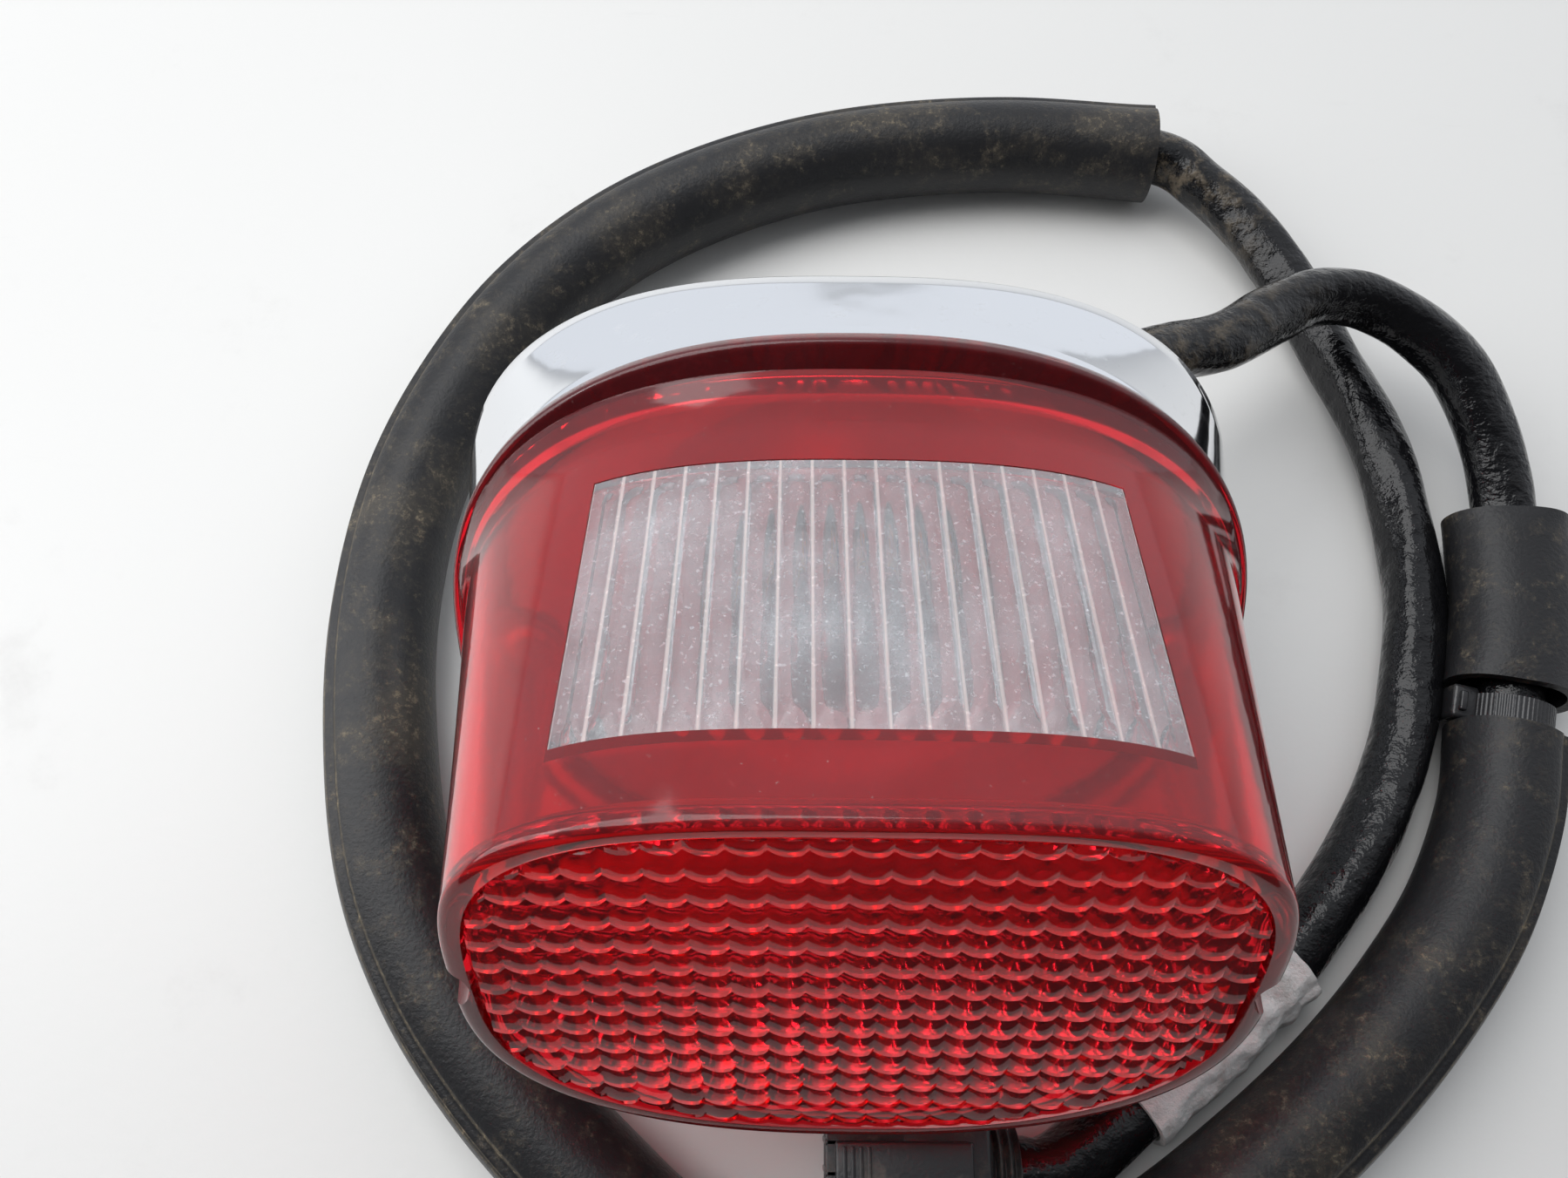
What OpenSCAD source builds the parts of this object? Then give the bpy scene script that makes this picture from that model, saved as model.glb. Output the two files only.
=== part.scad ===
// Motorcycle tail light with a top window lens, a chromed base and its wiring lead.
// The lamp stands on the rim of its base and on two mounting studs, tipped back by stance_pitch.
// Inside the lamp modules, -Y is the lens axis, pointing out of the lamp, and +Z is the window side.

/* [Lens] */
// Width across the lens flange
lens_w = 131; // [124:1:160]
// Height across the lens flange, measured along the joint
lens_h = 104; // [96:1:125]
// Distance along the axis from the joint to the end face
lens_len = 69; // [56:1:83]
// Width across the end face
face_w = 104; // [90:1:112]
// Height across the end face
face_h = 77; // [66:1:82]
// How far the flange stands out past the lens wall, above and below
flange_out = 5.5; // [4:0.5:8]
// How far the flange stands out past the lens wall at the sides
flange_side = 2; // [1.5:0.5:5]
// Thickness of the lens flange
flange_t = 4; // [3:0.5:6]
// Thickness of the lens wall
lens_wall = 2.6; // [2:0.2:3.6]
// Thickness of the end face
face_t = 4; // [3:0.5:6]
// Width of the smooth lip around the prisms
lip_w = 1.5; // [1:0.5:4]
// Depth of the prism field below the lip
prism_depth = 1.4; // [0.8:0.2:2]

/* [Window] */
// Width of the clear window
window_w = 75; // [60:1:80]
// Length of the clear window along the axis
window_l = 46; // [34:1:48]
// Distance from the end face to the window
window_setback = 10.5; // [9:0.5:14]

/* [Base] */
// Depth of the base behind the joint, on the axis
base_depth = 23.5; // [20:0.5:30]
// Wall thickness of the pressed base
base_wall = 2; // [1.6:0.2:3]
// Height across the base's back edge
back_h = 88.5; // [80:0.5:100]
// Width across the base's back edge
back_w = 133; // [120:1:150]
// Thickness of the gasket between lens and base
gasket_t = 2; // [1.5:0.5:3]

/* [Fixings] */
// Radius of the mounting studs
stud_r = 2.5; // [2:0.5:3]
// Radius of the circle through the mounting studs
stud_circle_r = 36; // [32:1:38]
// Distance of each lens screw from the middle
screw_x = 54.5; // [53:0.5:55]
// Radius of the lens screws
screw_r = 2; // [1.8:0.1:2.2]
// Radius of the channels that the lens screws lie in
channel_r = 5; // [5:0.5:6.5]

/* [Bulb] */
// Radius of the bulb's cap
cap_r = 7.5; // [7.3:0.1:7.7]
// Radius of the bulb's glass
glass_r = 13; // [11:0.5:14]
// How far the bulb pushes in against its sprung contacts
push_travel = 2; // [1.5:0.5:2.5]

/* [Lead] */
// Diameter of the wiring lead's sheath
lead_d = 12; // [10:0.5:12]
// Diameter of the split rubber cover on the lead
cover_d = 21; // [19:0.5:23]
// Radius of the bore of the rubber cover
cover_bore_r = 7.2; // [7:0.1:8]
// Length of the plug's housing
plug_l = 32; // [28:1:36]

/* [Stance] */
// Angle by which the lamp is tipped back where it stands
stance_pitch = 28; // [24:1:30]

/* [Hidden] */

joint_tilt = 11;
face_tilt = 3;
face_drop = 3;
back_tilt = 16;
back_rise = 5.75;
edge_r = 1.4;
slab = 1;
gap = 0.1;
steps = 72;
joint_round = 2.4;
waist_round = 2.6;
face_round = 3.5;
face_low_round = 2.35;

base_w = lens_w - 2;
base_h = lens_h - 2;
waist_w = lens_w - 2*flange_side;
waist_h = lens_h - 2*flange_out;
base_pitch = stance_pitch + joint_tilt;
back_pitch = stance_pitch + back_tilt;
stance_h = base_h/2*cos(base_pitch) + (gasket_t + slab)*sin(base_pitch);
// Moves the middle of the standing lamp over the origin
stance_y = 7.5;

// Studs: two low ones whose tips touch the surface that the lamp stands on, and one high one
stud_rise = -2;
low_stud_rise = stud_rise - stud_circle_r/2;
stud_out = (stance_h - base_depth*sin(stance_pitch) + low_stud_rise*cos(back_pitch)
    - stud_r*cos(back_pitch))/sin(back_pitch);
stud_collar = 0.5;
stud_head_r = 5;
stud_head_t = 2;

// Reflector: a dish let into a plate
dish_r = 38;
dish_rise = 5;
dish_hole_r = 13;
dish_depth = 11;

// Lens screws
pad_t = 6;
boss_r = 4.5;
boss_front = 1.8;
screw_head_r = 4.5;
screw_head_t = 3;
screw_washer_t = 1;
screw_grip = 12;
thread_gap = 0.05;

// Bulb and socket, measured forward from the base's back face
socket_r = 8.9;
socket_bore_r = 7.8;
socket_mouth = 25;
socket_flange_r = 15;
rivet_pitch_r = 12;
rivet_r = 1.5;
pin_r = 1;
pin_reach = 9.6;
pin_out = 17;
slot_r = 1.3;
slot_turn = 25;
pocket_w = 6.5;
slot_floor = pin_out - push_travel - slot_r - 0.3;
plate_out = 8.5;
plate_t = 2.5;
cap_out = 12;
cap_l = 15;
glass_out = 45;
button_x = 3.2;
button_r = 1.6;
spring_turns = 3;
spring_wire_r = 0.45;
spring_r = 5.5;
filament_rise = 12;

// Wire outlet, near the top right corner of the base's back
outlet_x = 44;
outlet_rise = 28;
lead_r = lead_d/2;
outlet_r = lead_r + 2;
grommet_lip = 2;
wire_r = 1;
wire_end = base_wall + 2.6;

// Earth tag
tag_x = 26;
tag_rise = 6;

// Route of the lead from outside the base, over and round the surface, to the plug.
// The rubber cover lies on the stretch from cover_first to cover_last.
lead_points = [[56, 62, 42], [72, 69, 37], [84, 78, 33], [95, 85, 30], [107, 87, 27], [118, 83, 24],
    [127, 75, 21], [132, 64, 17], [134.5, 53, 14], [135, 43, 12], [133, 25, 11.5], [128.5, 7, 11.5],
    [126.5, -1, 10.5], [122, -16, 10.5], [113, -33, 10.5], [101, -48, 10.5], [87, -62, 10.5],
    [71, -75, 10.5], [52, -88, 10.5], [32, -98, 10.5], [11, -101.5, 10.5], [-10, -99, 10.5],
    [-28, -90, 10.5], [-43, -78, 10.5], [-58, -64, 10.5], [-71, -48, 10.5], [-81, -29, 10.5],
    [-87, -6, 10.5], [-90, 20, 10.5], [-88, 48, 10.5], [-80, 73, 10.5], [-67, 96, 10.5],
    [-48, 115, 10.5], [-24, 129, 10.5], [4, 138, 10.5], [38, 141.5, 10.5], [73, 139, 10.5],
    [85, 131, 9.5], [95, 119, 8], [103, 103, 7], [109, 86, 7], [114, 69, 7], [117, 52, 7],
    [117, 34, 7], [114, 17, 7], [109, 0, 7], [101, -16, 7], [91, -30, 7], [80, -42, 7],
    [65, -55, 7], [50, -67, 8], [40, -74, 9], [34, -77, 9.5], [29, -77, 9.5]];
cover_first = 12;
cover_last = 36;
sleeve_first = 9;
sleeve_last = 11;
wrap_first = 48;
wrap_last = 50;
sleeve_r = 11.5;
wrap_t = 0.6;
tube_sides = 10;
tie_w = 4.4;

plug_at = lead_points[len(lead_points) - 1];
plug_w = 20;
plug_h = 18;
seal_l = 5;
cell = 3.6;
cell_pitch = 4.6;
cell_floor = 3;
terminal_l = 14;
lever_l = 22;
lever_w = 10;
lever_t = 1.8;
lever_lift = 2.2;
lever_root = 3;

// A rounded outline, squarer as n grows, with its own roundness for the lower half
function outline(w, h, n, low) = [for (i = [0 : steps - 1]) let (a = 360*i/steps, m = sin(a) < 0 ? low : n)
    [w/2*sign(cos(a))*pow(abs(cos(a)), 2/m), h/2*sign(sin(a))*pow(abs(sin(a)), 2/m)]];

// Places a flat shape upright, facing out of the lamp, at a distance out from a plane
module stand_up(out) { translate([0, -out, 0]) rotate([90, 0, 0]) children(); }
module on_lamp() { translate([0, stance_y, stance_h]) rotate([-stance_pitch, 0, 0]) children(); }
module on_joint(out) { rotate([-joint_tilt, 0, 0]) stand_up(out) children(); }
module on_face(out) {
    translate([0, -lens_len, -face_drop]) rotate([face_tilt, 0, 0]) stand_up(out) children();
}
module on_back(out) {
    translate([0, base_depth, 0]) rotate([-back_tilt, 0, 0]) stand_up(out) children();
}
module plate(w, h, n, t) { linear_extrude(t) polygon(outline(w, h, n, n)); }
module face_plate(inset, t) {
    linear_extrude(t) polygon(outline(face_w - 2*inset, face_h - 2*inset, face_round, face_low_round));
}
module both_sides() { for (side = [-1, 1]) translate([side*screw_x, 0, 0]) children(); }
module at_studs(out) {
    for (a = [90, 210, 330])
        on_back(out) translate([stud_circle_r*cos(a), stud_rise + stud_circle_r*sin(a), 0]) children();
}

// The lens's outside from the joint to the rounded lip, or its inside where inset is the wall
module lens_form(inset, front) {
    hull() {
        on_joint(-2*front) plate(waist_w - 2*inset, waist_h - 2*inset, waist_round, slab);
        on_face(-edge_r - slab - front) face_plate(inset, slab);
        on_face(-slab - front) face_plate(edge_r + inset, slab);
    }
}
// The window's plan, seen along the upright
module window_plan(clear) {
    translate([-window_w/2 + clear, -lens_len + window_setback + clear])
        square([window_w - 2*clear, window_l - 2*clear]);
}
module lens_shell() {
    difference() {
        union() {
            lens_form(0, 0);
            on_joint(0) plate(lens_w, lens_h, joint_round, flange_t);
        }
        difference() {
            lens_form(lens_wall, face_t);
            both_sides() stand_up(-2*lens_wall)
                cylinder(h = lens_len, r = channel_r + lens_wall, $fn = 48);
        }
        on_joint(-8) plate(waist_w, waist_h, waist_round, 8);
    }
}
module red_lens() {
    color([0.62, 0.02, 0.04]) on_lamp() difference() {
        lens_shell();
        on_face(-prism_depth) face_plate(edge_r + lip_w, 4);
        both_sides() stand_up(pad_t) cylinder(h = lens_len, r = channel_r, $fn = 48);
        both_sides() stand_up(-8) cylinder(h = 20, r = screw_r + 0.3, $fn = 32);
        linear_extrude(lens_h) window_plan(0);
    }
}
module clear_window() {
    color([0.9, 0.92, 0.93, 0.6]) on_lamp() intersection() {
        difference() {
            lens_form(0, 0);
            lens_form(lens_wall, face_t);
        }
        linear_extrude(lens_h) window_plan(gap/2);
    }
}

module base_form(inset) {
    hull() {
        on_joint(-gasket_t - slab + (inset > 0 ? slab : 0))
            plate(base_w - 2*inset, base_h - 2*inset, joint_round, slab);
        on_back(inset) translate([0, back_rise, 0])
            plate(back_w - 2*inset, back_h - 2*inset, 2.7, slab);
    }
}
module chrome_base() {
    color([0.86, 0.88, 0.9]) on_lamp() difference() {
        union() {
            difference() {
                base_form(0);
                base_form(base_wall);
            }
            difference() {
                both_sides() stand_up(-base_depth)
                    cylinder(h = base_depth - gasket_t + 2, r = boss_r, $fn = 32);
                on_joint(-gasket_t - boss_front + slab) cylinder(h = 30, r = lens_w, $fn = 48);
                on_back(-40) cylinder(h = 40.5, r = lens_w, $fn = 48);
            }
        }
        both_sides() stand_up(-screw_grip - 2) cylinder(h = 30, r = screw_r + thread_gap, $fn = 32);
        at_studs(-5) cylinder(h = 10, r = stud_r + stud_collar, $fn = 32);
        on_back(-5) translate([outlet_x, outlet_rise, 0]) cylinder(h = 12, r = outlet_r, $fn = 48);
        for (side = [-1, 1])
            on_back(-5) translate([side*rivet_pitch_r, 0, 0]) cylinder(h = 10, r = rivet_r, $fn = 24);
        on_back(-5) translate([tag_x, tag_rise, 0]) cylinder(h = 10, r = 1.5, $fn = 24);
    }
}
module mounting_studs() {
    color([0.75, 0.76, 0.72]) on_lamp() {
        at_studs(-stud_out) cylinder(h = stud_out, r = stud_r, $fn = 32);
        at_studs(0) cylinder(h = base_wall, r = stud_r + stud_collar, $fn = 32);
        at_studs(base_wall) cylinder(h = stud_head_t, r = stud_head_r, $fn = 32);
    }
}
module ring_plate(outer, inner, t) {
    difference() {
        cylinder(h = t, r = outer, $fn = 48);
        translate([0, 0, -1]) cylinder(h = t + 2, r = inner, $fn = 48);
    }
}
module lens_gasket() {
    color([0.07, 0.07, 0.07]) on_lamp() difference() {
        on_joint(-gasket_t) plate(lens_w - 2, lens_h - 2, joint_round, gasket_t);
        on_joint(-gasket_t - 1) plate(lens_w - 14, lens_h - 14, joint_round, gasket_t + 2);
    }
}
// Half of the dish's section: its underside from the hole out, or its upper side from the rim in
function dish_line(t) = let (span = dish_r - t - dish_hole_r,
        line = [for (k = [0 : 0.125 : 1]) [dish_hole_r + k*span, t - dish_depth*(1 - k*k)]])
    t > 0 ? [for (i = [len(line) - 2 : -1 : 0]) line[i]] : line;
module reflector() {
    color([0.82, 0.83, 0.84]) on_lamp() difference() {
        union() {
            on_joint(-boss_front) difference() {
                plate(lens_w - 15, lens_h - 15, joint_round, slab);
                translate([0, dish_rise, -1]) cylinder(h = 4, r = dish_r - slab/2, $fn = 96);
            }
            on_joint(-boss_front) translate([0, dish_rise, 0]) rotate_extrude($fn = 96)
                polygon(concat(dish_line(0), [[dish_r, slab], [dish_r - slab, slab]], dish_line(slab)));
        }
        both_sides() stand_up(-8) cylinder(h = 12, r = screw_r + 0.4, $fn = 32);
    }
}
module bulb_socket() {
    color([0.72, 0.73, 0.7]) on_lamp() difference() {
        union() {
            on_back(base_wall) cylinder(h = 1.2, r = socket_flange_r, $fn = 64);
            on_back(base_wall) cylinder(h = socket_mouth - base_wall, r = socket_r, $fn = 64);
        }
        on_back(base_wall + 1.2) cylinder(h = 40, r = socket_bore_r, $fn = 64);
        for (side = [-1, 1])
            on_back(0) translate([side*rivet_pitch_r, 0, 0]) cylinder(h = 10, r = rivet_r, $fn = 24);
        // Bayonet slots: a way in from the mouth, and the pocket that the pins turn into
        for (side = [0, 180]) on_back(slot_floor) rotate([0, 0, side]) {
            translate([-slot_r, 0, 0]) cube([2*slot_r, 12, 20]);
            rotate([0, 0, -slot_turn - 4]) translate([slot_r - pocket_w, 0, 0])
                cube([pocket_w, 12, push_travel + 2*slot_r + 0.6]);
        }
        on_back(5) rotate([0, 0, -20]) translate([6, -1, 0]) cube([6, 4.4, 4]);
    }
}
module socket_rivets() {
    color([0.8, 0.8, 0.8]) on_lamp() for (side = [-1, 1]) on_back(0) translate([side*rivet_pitch_r, 0, 0]) {
        translate([0, 0, -0.8]) cylinder(h = 0.8, r = 2.6, $fn = 32);
        cylinder(h = base_wall + 1.2, r = rivet_r, $fn = 24);
        translate([0, 0, base_wall + 1.2]) cylinder(h = 0.8, r = 2.4, $fn = 32);
    }
}
module contact_plate() {
    color([0.35, 0.2, 0.1]) on_lamp() on_back(plate_out)
        cylinder(h = plate_t, r = socket_bore_r - 0.3, $fn = 64);
}
module contact_buttons() {
    color([0.85, 0.65, 0.3]) on_lamp() for (side = [-1, 1])
        on_back(plate_out + plate_t) translate([side*button_x, 0, 0])
            cylinder(h = cap_out - plate_out - plate_t, r = button_r, $fn = 32);
}
module contact_spring() {
    color([0.75, 0.75, 0.75]) on_lamp() for (i = [0 : spring_turns - 1])
        on_back(plate_out - spring_wire_r*(1 + 2*i)) rotate_extrude($fn = 48)
            translate([spring_r, 0]) circle(r = spring_wire_r, $fn = 16);
}
module bulb_cap() {
    color([0.83, 0.66, 0.32]) on_lamp() {
        on_back(cap_out) cylinder(h = cap_l, r = cap_r, $fn = 64);
        on_back(pin_out) rotate([0, 0, -slot_turn]) rotate([90, 0, 0])
            translate([0, 0, -pin_reach]) cylinder(h = 2*pin_reach, r = pin_r, $fn = 24);
    }
}
module bulb_profile(inset) {
    neck_r = cap_r - 0.7 - inset;
    big_r = glass_r - inset;
    difference() {
        union() {
            translate([0, glass_out]) circle(r = big_r, $fn = 64);
            polygon([[0, cap_out + cap_l + inset], [neck_r, cap_out + cap_l + inset],
                [neck_r, cap_out + cap_l + 3], [big_r*0.9, glass_out - big_r*0.43], [0, glass_out]]);
        }
        translate([-50, 0]) square([50, 100]);
    }
}
module bulb_glass() {
    color([0.95, 0.96, 0.97, 0.4]) on_lamp() on_back(0) rotate_extrude($fn = 64) difference() {
        bulb_profile(0);
        bulb_profile(0.8);
    }
}
module bulb_filaments() {
    color([0.6, 0.6, 0.62]) on_lamp() on_back(cap_out + cap_l + 0.8) {
        cylinder(h = 6, r = 2.4, $fn = 32);
        for (x = [-4, -1.4, 1.4, 4]) translate([x, 0, 5]) rotate([0, x*2, 0])
            cylinder(h = filament_rise, r = 0.3, $fn = 16);
        translate([0, 0, 6]) cylinder(h = filament_rise - 3, r = 1, $fn = 16);
        for (rise = [14, 16.5]) translate([-4.4, 0, rise]) rotate([0, 90, 0])
            cylinder(h = 8.8, r = 0.4, $fn = 16);
    }
}
module lens_screws() {
    head_out = pad_t + screw_washer_t;
    color([0.82, 0.83, 0.85]) on_lamp() both_sides() {
        stand_up(-screw_grip) cylinder(h = screw_grip + head_out, r = screw_r, $fn = 32);
        difference() {
            stand_up(head_out) cylinder(h = screw_head_t, r = screw_head_r, $fn = 48);
            for (turn = [0, 90]) stand_up(head_out + 1.4) rotate([0, 0, turn])
                translate([-2.6, -0.5, 0]) cube([5.2, 1, 4]);
        }
    }
}
module screw_washers() {
    color([0.15, 0.15, 0.15]) on_lamp() both_sides() stand_up(pad_t)
        ring_plate((screw_head_r + channel_r)/2, screw_r + gap, screw_washer_t);
}
module wire_grommet() {
    color([0.08, 0.08, 0.08]) on_lamp() on_back(0) translate([outlet_x, outlet_rise, 0])
        rotate_extrude($fn = 64) polygon([[lead_r, -grommet_lip], [outlet_r + 1.5, -grommet_lip],
            [outlet_r + 2, -grommet_lip/2], [outlet_r + 2, 0], [outlet_r, 0], [outlet_r, base_wall],
            [outlet_r + 2, base_wall], [outlet_r + 2, base_wall + 1.5], [lead_r, base_wall + 1.5]]);
}

// Sweeps a round tube along points; a bore makes it a sleeve
function unit(v) = v/norm(v);
function heading(route, i) = unit(route[min(i + 1, len(route) - 1)] - route[max(i - 1, 0)]);
function ring(centre, head, r, sides) = let (side = unit(cross(head, [0, 0, 1])), lift = cross(side, head))
    [for (k = [0 : sides - 1]) centre + r*(cos(360*k/sides)*side + sin(360*k/sides)*lift)];
module swept(route, heads, r, bore, sides) {
    n = len(route);
    outer = [for (i = [0 : n - 1]) each ring(route[i], heads[i], r, sides)];
    inner = bore > 0 ? [for (i = [0 : n - 1]) each ring(route[i], heads[i], bore, sides)] : [];
    start = n*sides;
    skin = [for (i = [0 : n - 2]) for (k = [0 : sides - 1]) let (next = (k + 1)%sides)
        each [[i*sides + k, i*sides + next, (i + 1)*sides + next],
            [i*sides + k, (i + 1)*sides + next, (i + 1)*sides + k]]];
    lining = [for (i = [0 : n - 2]) for (k = [0 : sides - 1]) let (next = (k + 1)%sides, s = start)
        each [[s + i*sides + k, s + (i + 1)*sides + next, s + i*sides + next],
            [s + i*sides + k, s + (i + 1)*sides + k, s + (i + 1)*sides + next]]];
    last = (n - 1)*sides;
    solid_caps = [[for (k = [0 : sides - 1]) sides - 1 - k], [for (k = [0 : sides - 1]) last + k]];
    ring_caps = [for (k = [0 : sides - 1]) let (next = (k + 1)%sides)
        each [[k, start + next, next], [k, start + k, start + next],
            [last + k, last + next, start + last + next], [last + k, start + last + next, start + last + k]]];
    polyhedron(points = concat(outer, inner),
        faces = bore > 0 ? concat(skin, lining, ring_caps) : concat(skin, solid_caps), convexity = 6);
}
function tip_back(p, a) = [p[0], p[1]*cos(a) + p[2]*sin(a), p[2]*cos(a) - p[1]*sin(a)];
// A place in the back plane's frame (x, rise, out) as a point in the part's frame
function back_point(p) = let (q = tip_back([p[0], -p[2], p[1]], back_tilt) + [0, base_depth, 0])
    tip_back(q, stance_pitch) + [0, stance_y, stance_h];
outlet = back_point([outlet_x, outlet_rise, base_wall + 1.5]);
outlet_mouth = back_point([outlet_x, outlet_rise, -grommet_lip - 3]);
lead_route = concat([outlet, outlet_mouth], lead_points);
lead_heads = [for (i = [0 : len(lead_route) - 1]) heading(lead_route, i)];
function stretch(list, first, last) = [for (i = [first + 2 : last + 2]) list[i]];

module lead_sheath() {
    color([0.05, 0.05, 0.055]) swept(lead_route, lead_heads, lead_r, 0, tube_sides);
}
module joint_sleeve() {
    color([0.1, 0.1, 0.11]) swept(stretch(lead_route, sleeve_first, sleeve_last),
        stretch(lead_heads, sleeve_first, sleeve_last), sleeve_r, lead_r + gap, tube_sides);
}
module rubber_cover() {
    color([0.09, 0.09, 0.095]) swept(stretch(lead_route, cover_first, cover_last),
        stretch(lead_heads, cover_first, cover_last), cover_d/2, cover_bore_r, tube_sides);
}
module marker_wrap() {
    color([0.9, 0.89, 0.87]) swept(stretch(lead_route, wrap_first, wrap_last),
        stretch(lead_heads, wrap_first, wrap_last), lead_r + wrap_t, lead_r, tube_sides);
}
module cable_tie() {
    at = (lead_points[sleeve_last] + lead_points[cover_first])/2;
    head = unit(lead_points[cover_first] - lead_points[sleeve_last]);
    color([0.04, 0.04, 0.04]) translate(at) rotate([0, 0, atan2(head[1], head[0])]) rotate([0, 90, 0]) {
        translate([0, 0, -tie_w/2]) ring_plate(lead_r + 1.6, lead_r + 0.5, tie_w);
        translate([-3, lead_r + 1.2, -3.2]) cube([6, 4.4, 6.4]);
    }
}

module inner_wire(points) {
    route = [for (p = points) back_point(p)];
    swept(route, [for (i = [0 : len(route) - 1]) heading(route, i)], wire_r, 0, 8);
}
module tail_wire() {
    color([0.1, 0.25, 0.7]) inner_wire([[9.2, 1.2, 6.5], [17, 7, 5], [23, 15, 4.8], [34, 25, 6],
        [41, 28.5, 6.5], [41.6, 28.5, wire_end]]);
}
module stop_wire() {
    color([0.75, 0.1, 0.1]) inner_wire([[9.2, -1.2, 6.5], [21, -2, 4.8], [33, 0, 4.8], [43, 14, 4.8],
        [44.5, 22, 6], [44, 24.6, wire_end]]);
}
module earth_wire() {
    color([0.08, 0.08, 0.08]) inner_wire([[tag_x + 8.2, tag_rise + 1.2, 4.2], [35.5, 15, 4.6],
        [38, 21, 5.5], [40.5, 24, 6.2], [41.2, 25, wire_end]]);
}
module earth_tag() {
    color([0.8, 0.72, 0.45]) on_lamp() on_back(base_wall) translate([tag_x, tag_rise, 0]) difference() {
        union() {
            cylinder(h = 0.8, r = 4, $fn = 32);
            translate([0, -1.5, 0]) cube([7, 3, 0.8]);
            translate([4.4, -1.6, 0]) cube([2.6, 3.2, 3.4]);
        }
        translate([0, 0, -1]) cylinder(h = 4, r = 1.6, $fn = 24);
    }
}
module earth_screw() {
    color([0.75, 0.76, 0.72]) on_lamp() on_back(0) translate([tag_x, tag_rise, 0]) {
        cylinder(h = base_wall + 0.8, r = 1.5, $fn = 24);
        translate([0, 0, base_wall + 0.8]) cylinder(h = 1.8, r = 3, $fn = 32);
    }
}

// The plug lies along X behind plug_at, where the lead enters it
module plug_cells(back, depth, size) {
    for (column = [0 : 3]) for (row = [0 : 1])
        translate([back, (column - 1.5)*cell_pitch - size/2, (row - 0.5)*cell_pitch - size/2])
            cube([depth, size, size]);
}
module plug_housing() {
    body_l = plug_l - seal_l;
    color([0.04, 0.04, 0.045]) translate(plug_at) difference() {
        translate([-plug_l, -plug_w/2, -plug_h/2]) cube([body_l, plug_w, plug_h]);
        plug_cells(-plug_l - 1, body_l - cell_floor + 1, cell);
    }
}
module plug_terminals() {
    color([0.8, 0.78, 0.7]) translate(plug_at)
        plug_cells(-seal_l - cell_floor - terminal_l, terminal_l, cell - 1.2);
}
module plug_lever() {
    color([0.05, 0.05, 0.055]) translate(plug_at + [0, 0, plug_h/2]) {
        translate([-plug_l + 1.5, -lever_w/2, lever_lift]) cube([lever_l, lever_w, lever_t]);
        translate([-plug_l + 1.5 + lever_l - lever_root, -lever_w/2, 0]) cube([lever_root, lever_w, lever_lift]);
    }
}
module plug_seal() {
    color([0.1, 0.1, 0.1]) translate(plug_at + [-seal_l, 0, 0]) rotate([0, 90, 0])
        cylinder(h = seal_l, r = 7.5, $fn = 48);
}

chrome_base();
mounting_studs();
lens_gasket();
reflector();
bulb_socket();
socket_rivets();
contact_plate();
contact_buttons();
contact_spring();
bulb_cap();
bulb_glass();
bulb_filaments();
red_lens();
clear_window();
lens_screws();
screw_washers();
wire_grommet();
tail_wire();
stop_wire();
earth_wire();
earth_tag();
earth_screw();
lead_sheath();
joint_sleeve();
cable_tie();
rubber_cover();
marker_wrap();
plug_housing();
plug_lever();
plug_terminals();
plug_seal();
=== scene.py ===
import math

import bmesh
import bpy
import numpy as np
from mathutils import Matrix, Vector, noise
from mathutils.bvhtree import BVHTree


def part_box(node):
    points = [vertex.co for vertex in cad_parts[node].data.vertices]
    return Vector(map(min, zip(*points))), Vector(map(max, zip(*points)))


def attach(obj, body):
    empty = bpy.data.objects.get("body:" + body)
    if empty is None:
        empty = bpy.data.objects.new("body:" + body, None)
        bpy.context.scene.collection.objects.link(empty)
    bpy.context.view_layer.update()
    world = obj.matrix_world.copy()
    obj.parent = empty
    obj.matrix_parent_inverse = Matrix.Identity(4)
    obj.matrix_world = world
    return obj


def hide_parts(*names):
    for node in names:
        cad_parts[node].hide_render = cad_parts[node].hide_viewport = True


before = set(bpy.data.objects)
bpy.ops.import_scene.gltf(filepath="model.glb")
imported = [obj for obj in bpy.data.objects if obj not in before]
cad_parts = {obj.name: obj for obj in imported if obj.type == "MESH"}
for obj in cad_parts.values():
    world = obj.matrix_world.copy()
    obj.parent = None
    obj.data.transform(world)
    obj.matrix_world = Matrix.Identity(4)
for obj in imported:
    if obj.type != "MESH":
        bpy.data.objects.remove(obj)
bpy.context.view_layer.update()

# ----------------------------------------------------------------------
# Camera: it stands in front of the lamp and above it, and looks steeply down on the lens.
eye = bpy.data.cameras.new("camera")
eye.sensor_width = 36
eye.lens = 27.8
eye.clip_start = 0.01
camera = bpy.data.objects.new("camera", eye)
camera.location = (-0.00904, -0.06473, 0.23445)
camera.rotation_euler = (math.radians(22.5), math.radians(0.2), math.radians(0.7))
bpy.context.collection.objects.link(camera)
bpy.context.scene.camera = camera

# ----------------------------------------------------------------------
# Light: a wide soft box overhead and a tall one to the left, in a room with a pale wall behind
# the lamp and a dim side in front, so that polished edges that face the front turn dark.
WALL_LIGHT = (0.80, 0.83, 0.88, 1)
FRONT_LIGHT = (0.07, 0.07, 0.075, 1)
BOXES = {  # name: (place, size across, size along, watts)
    "overhead": ((-0.45, 0.40, 1.10), 1.1, 0.9, 9),
    "left": ((-1.0, 0.1, 0.55), 0.7, 0.9, 5),
}
LIGHT_AIM = Vector((0, 0.02, 0.04))

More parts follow.
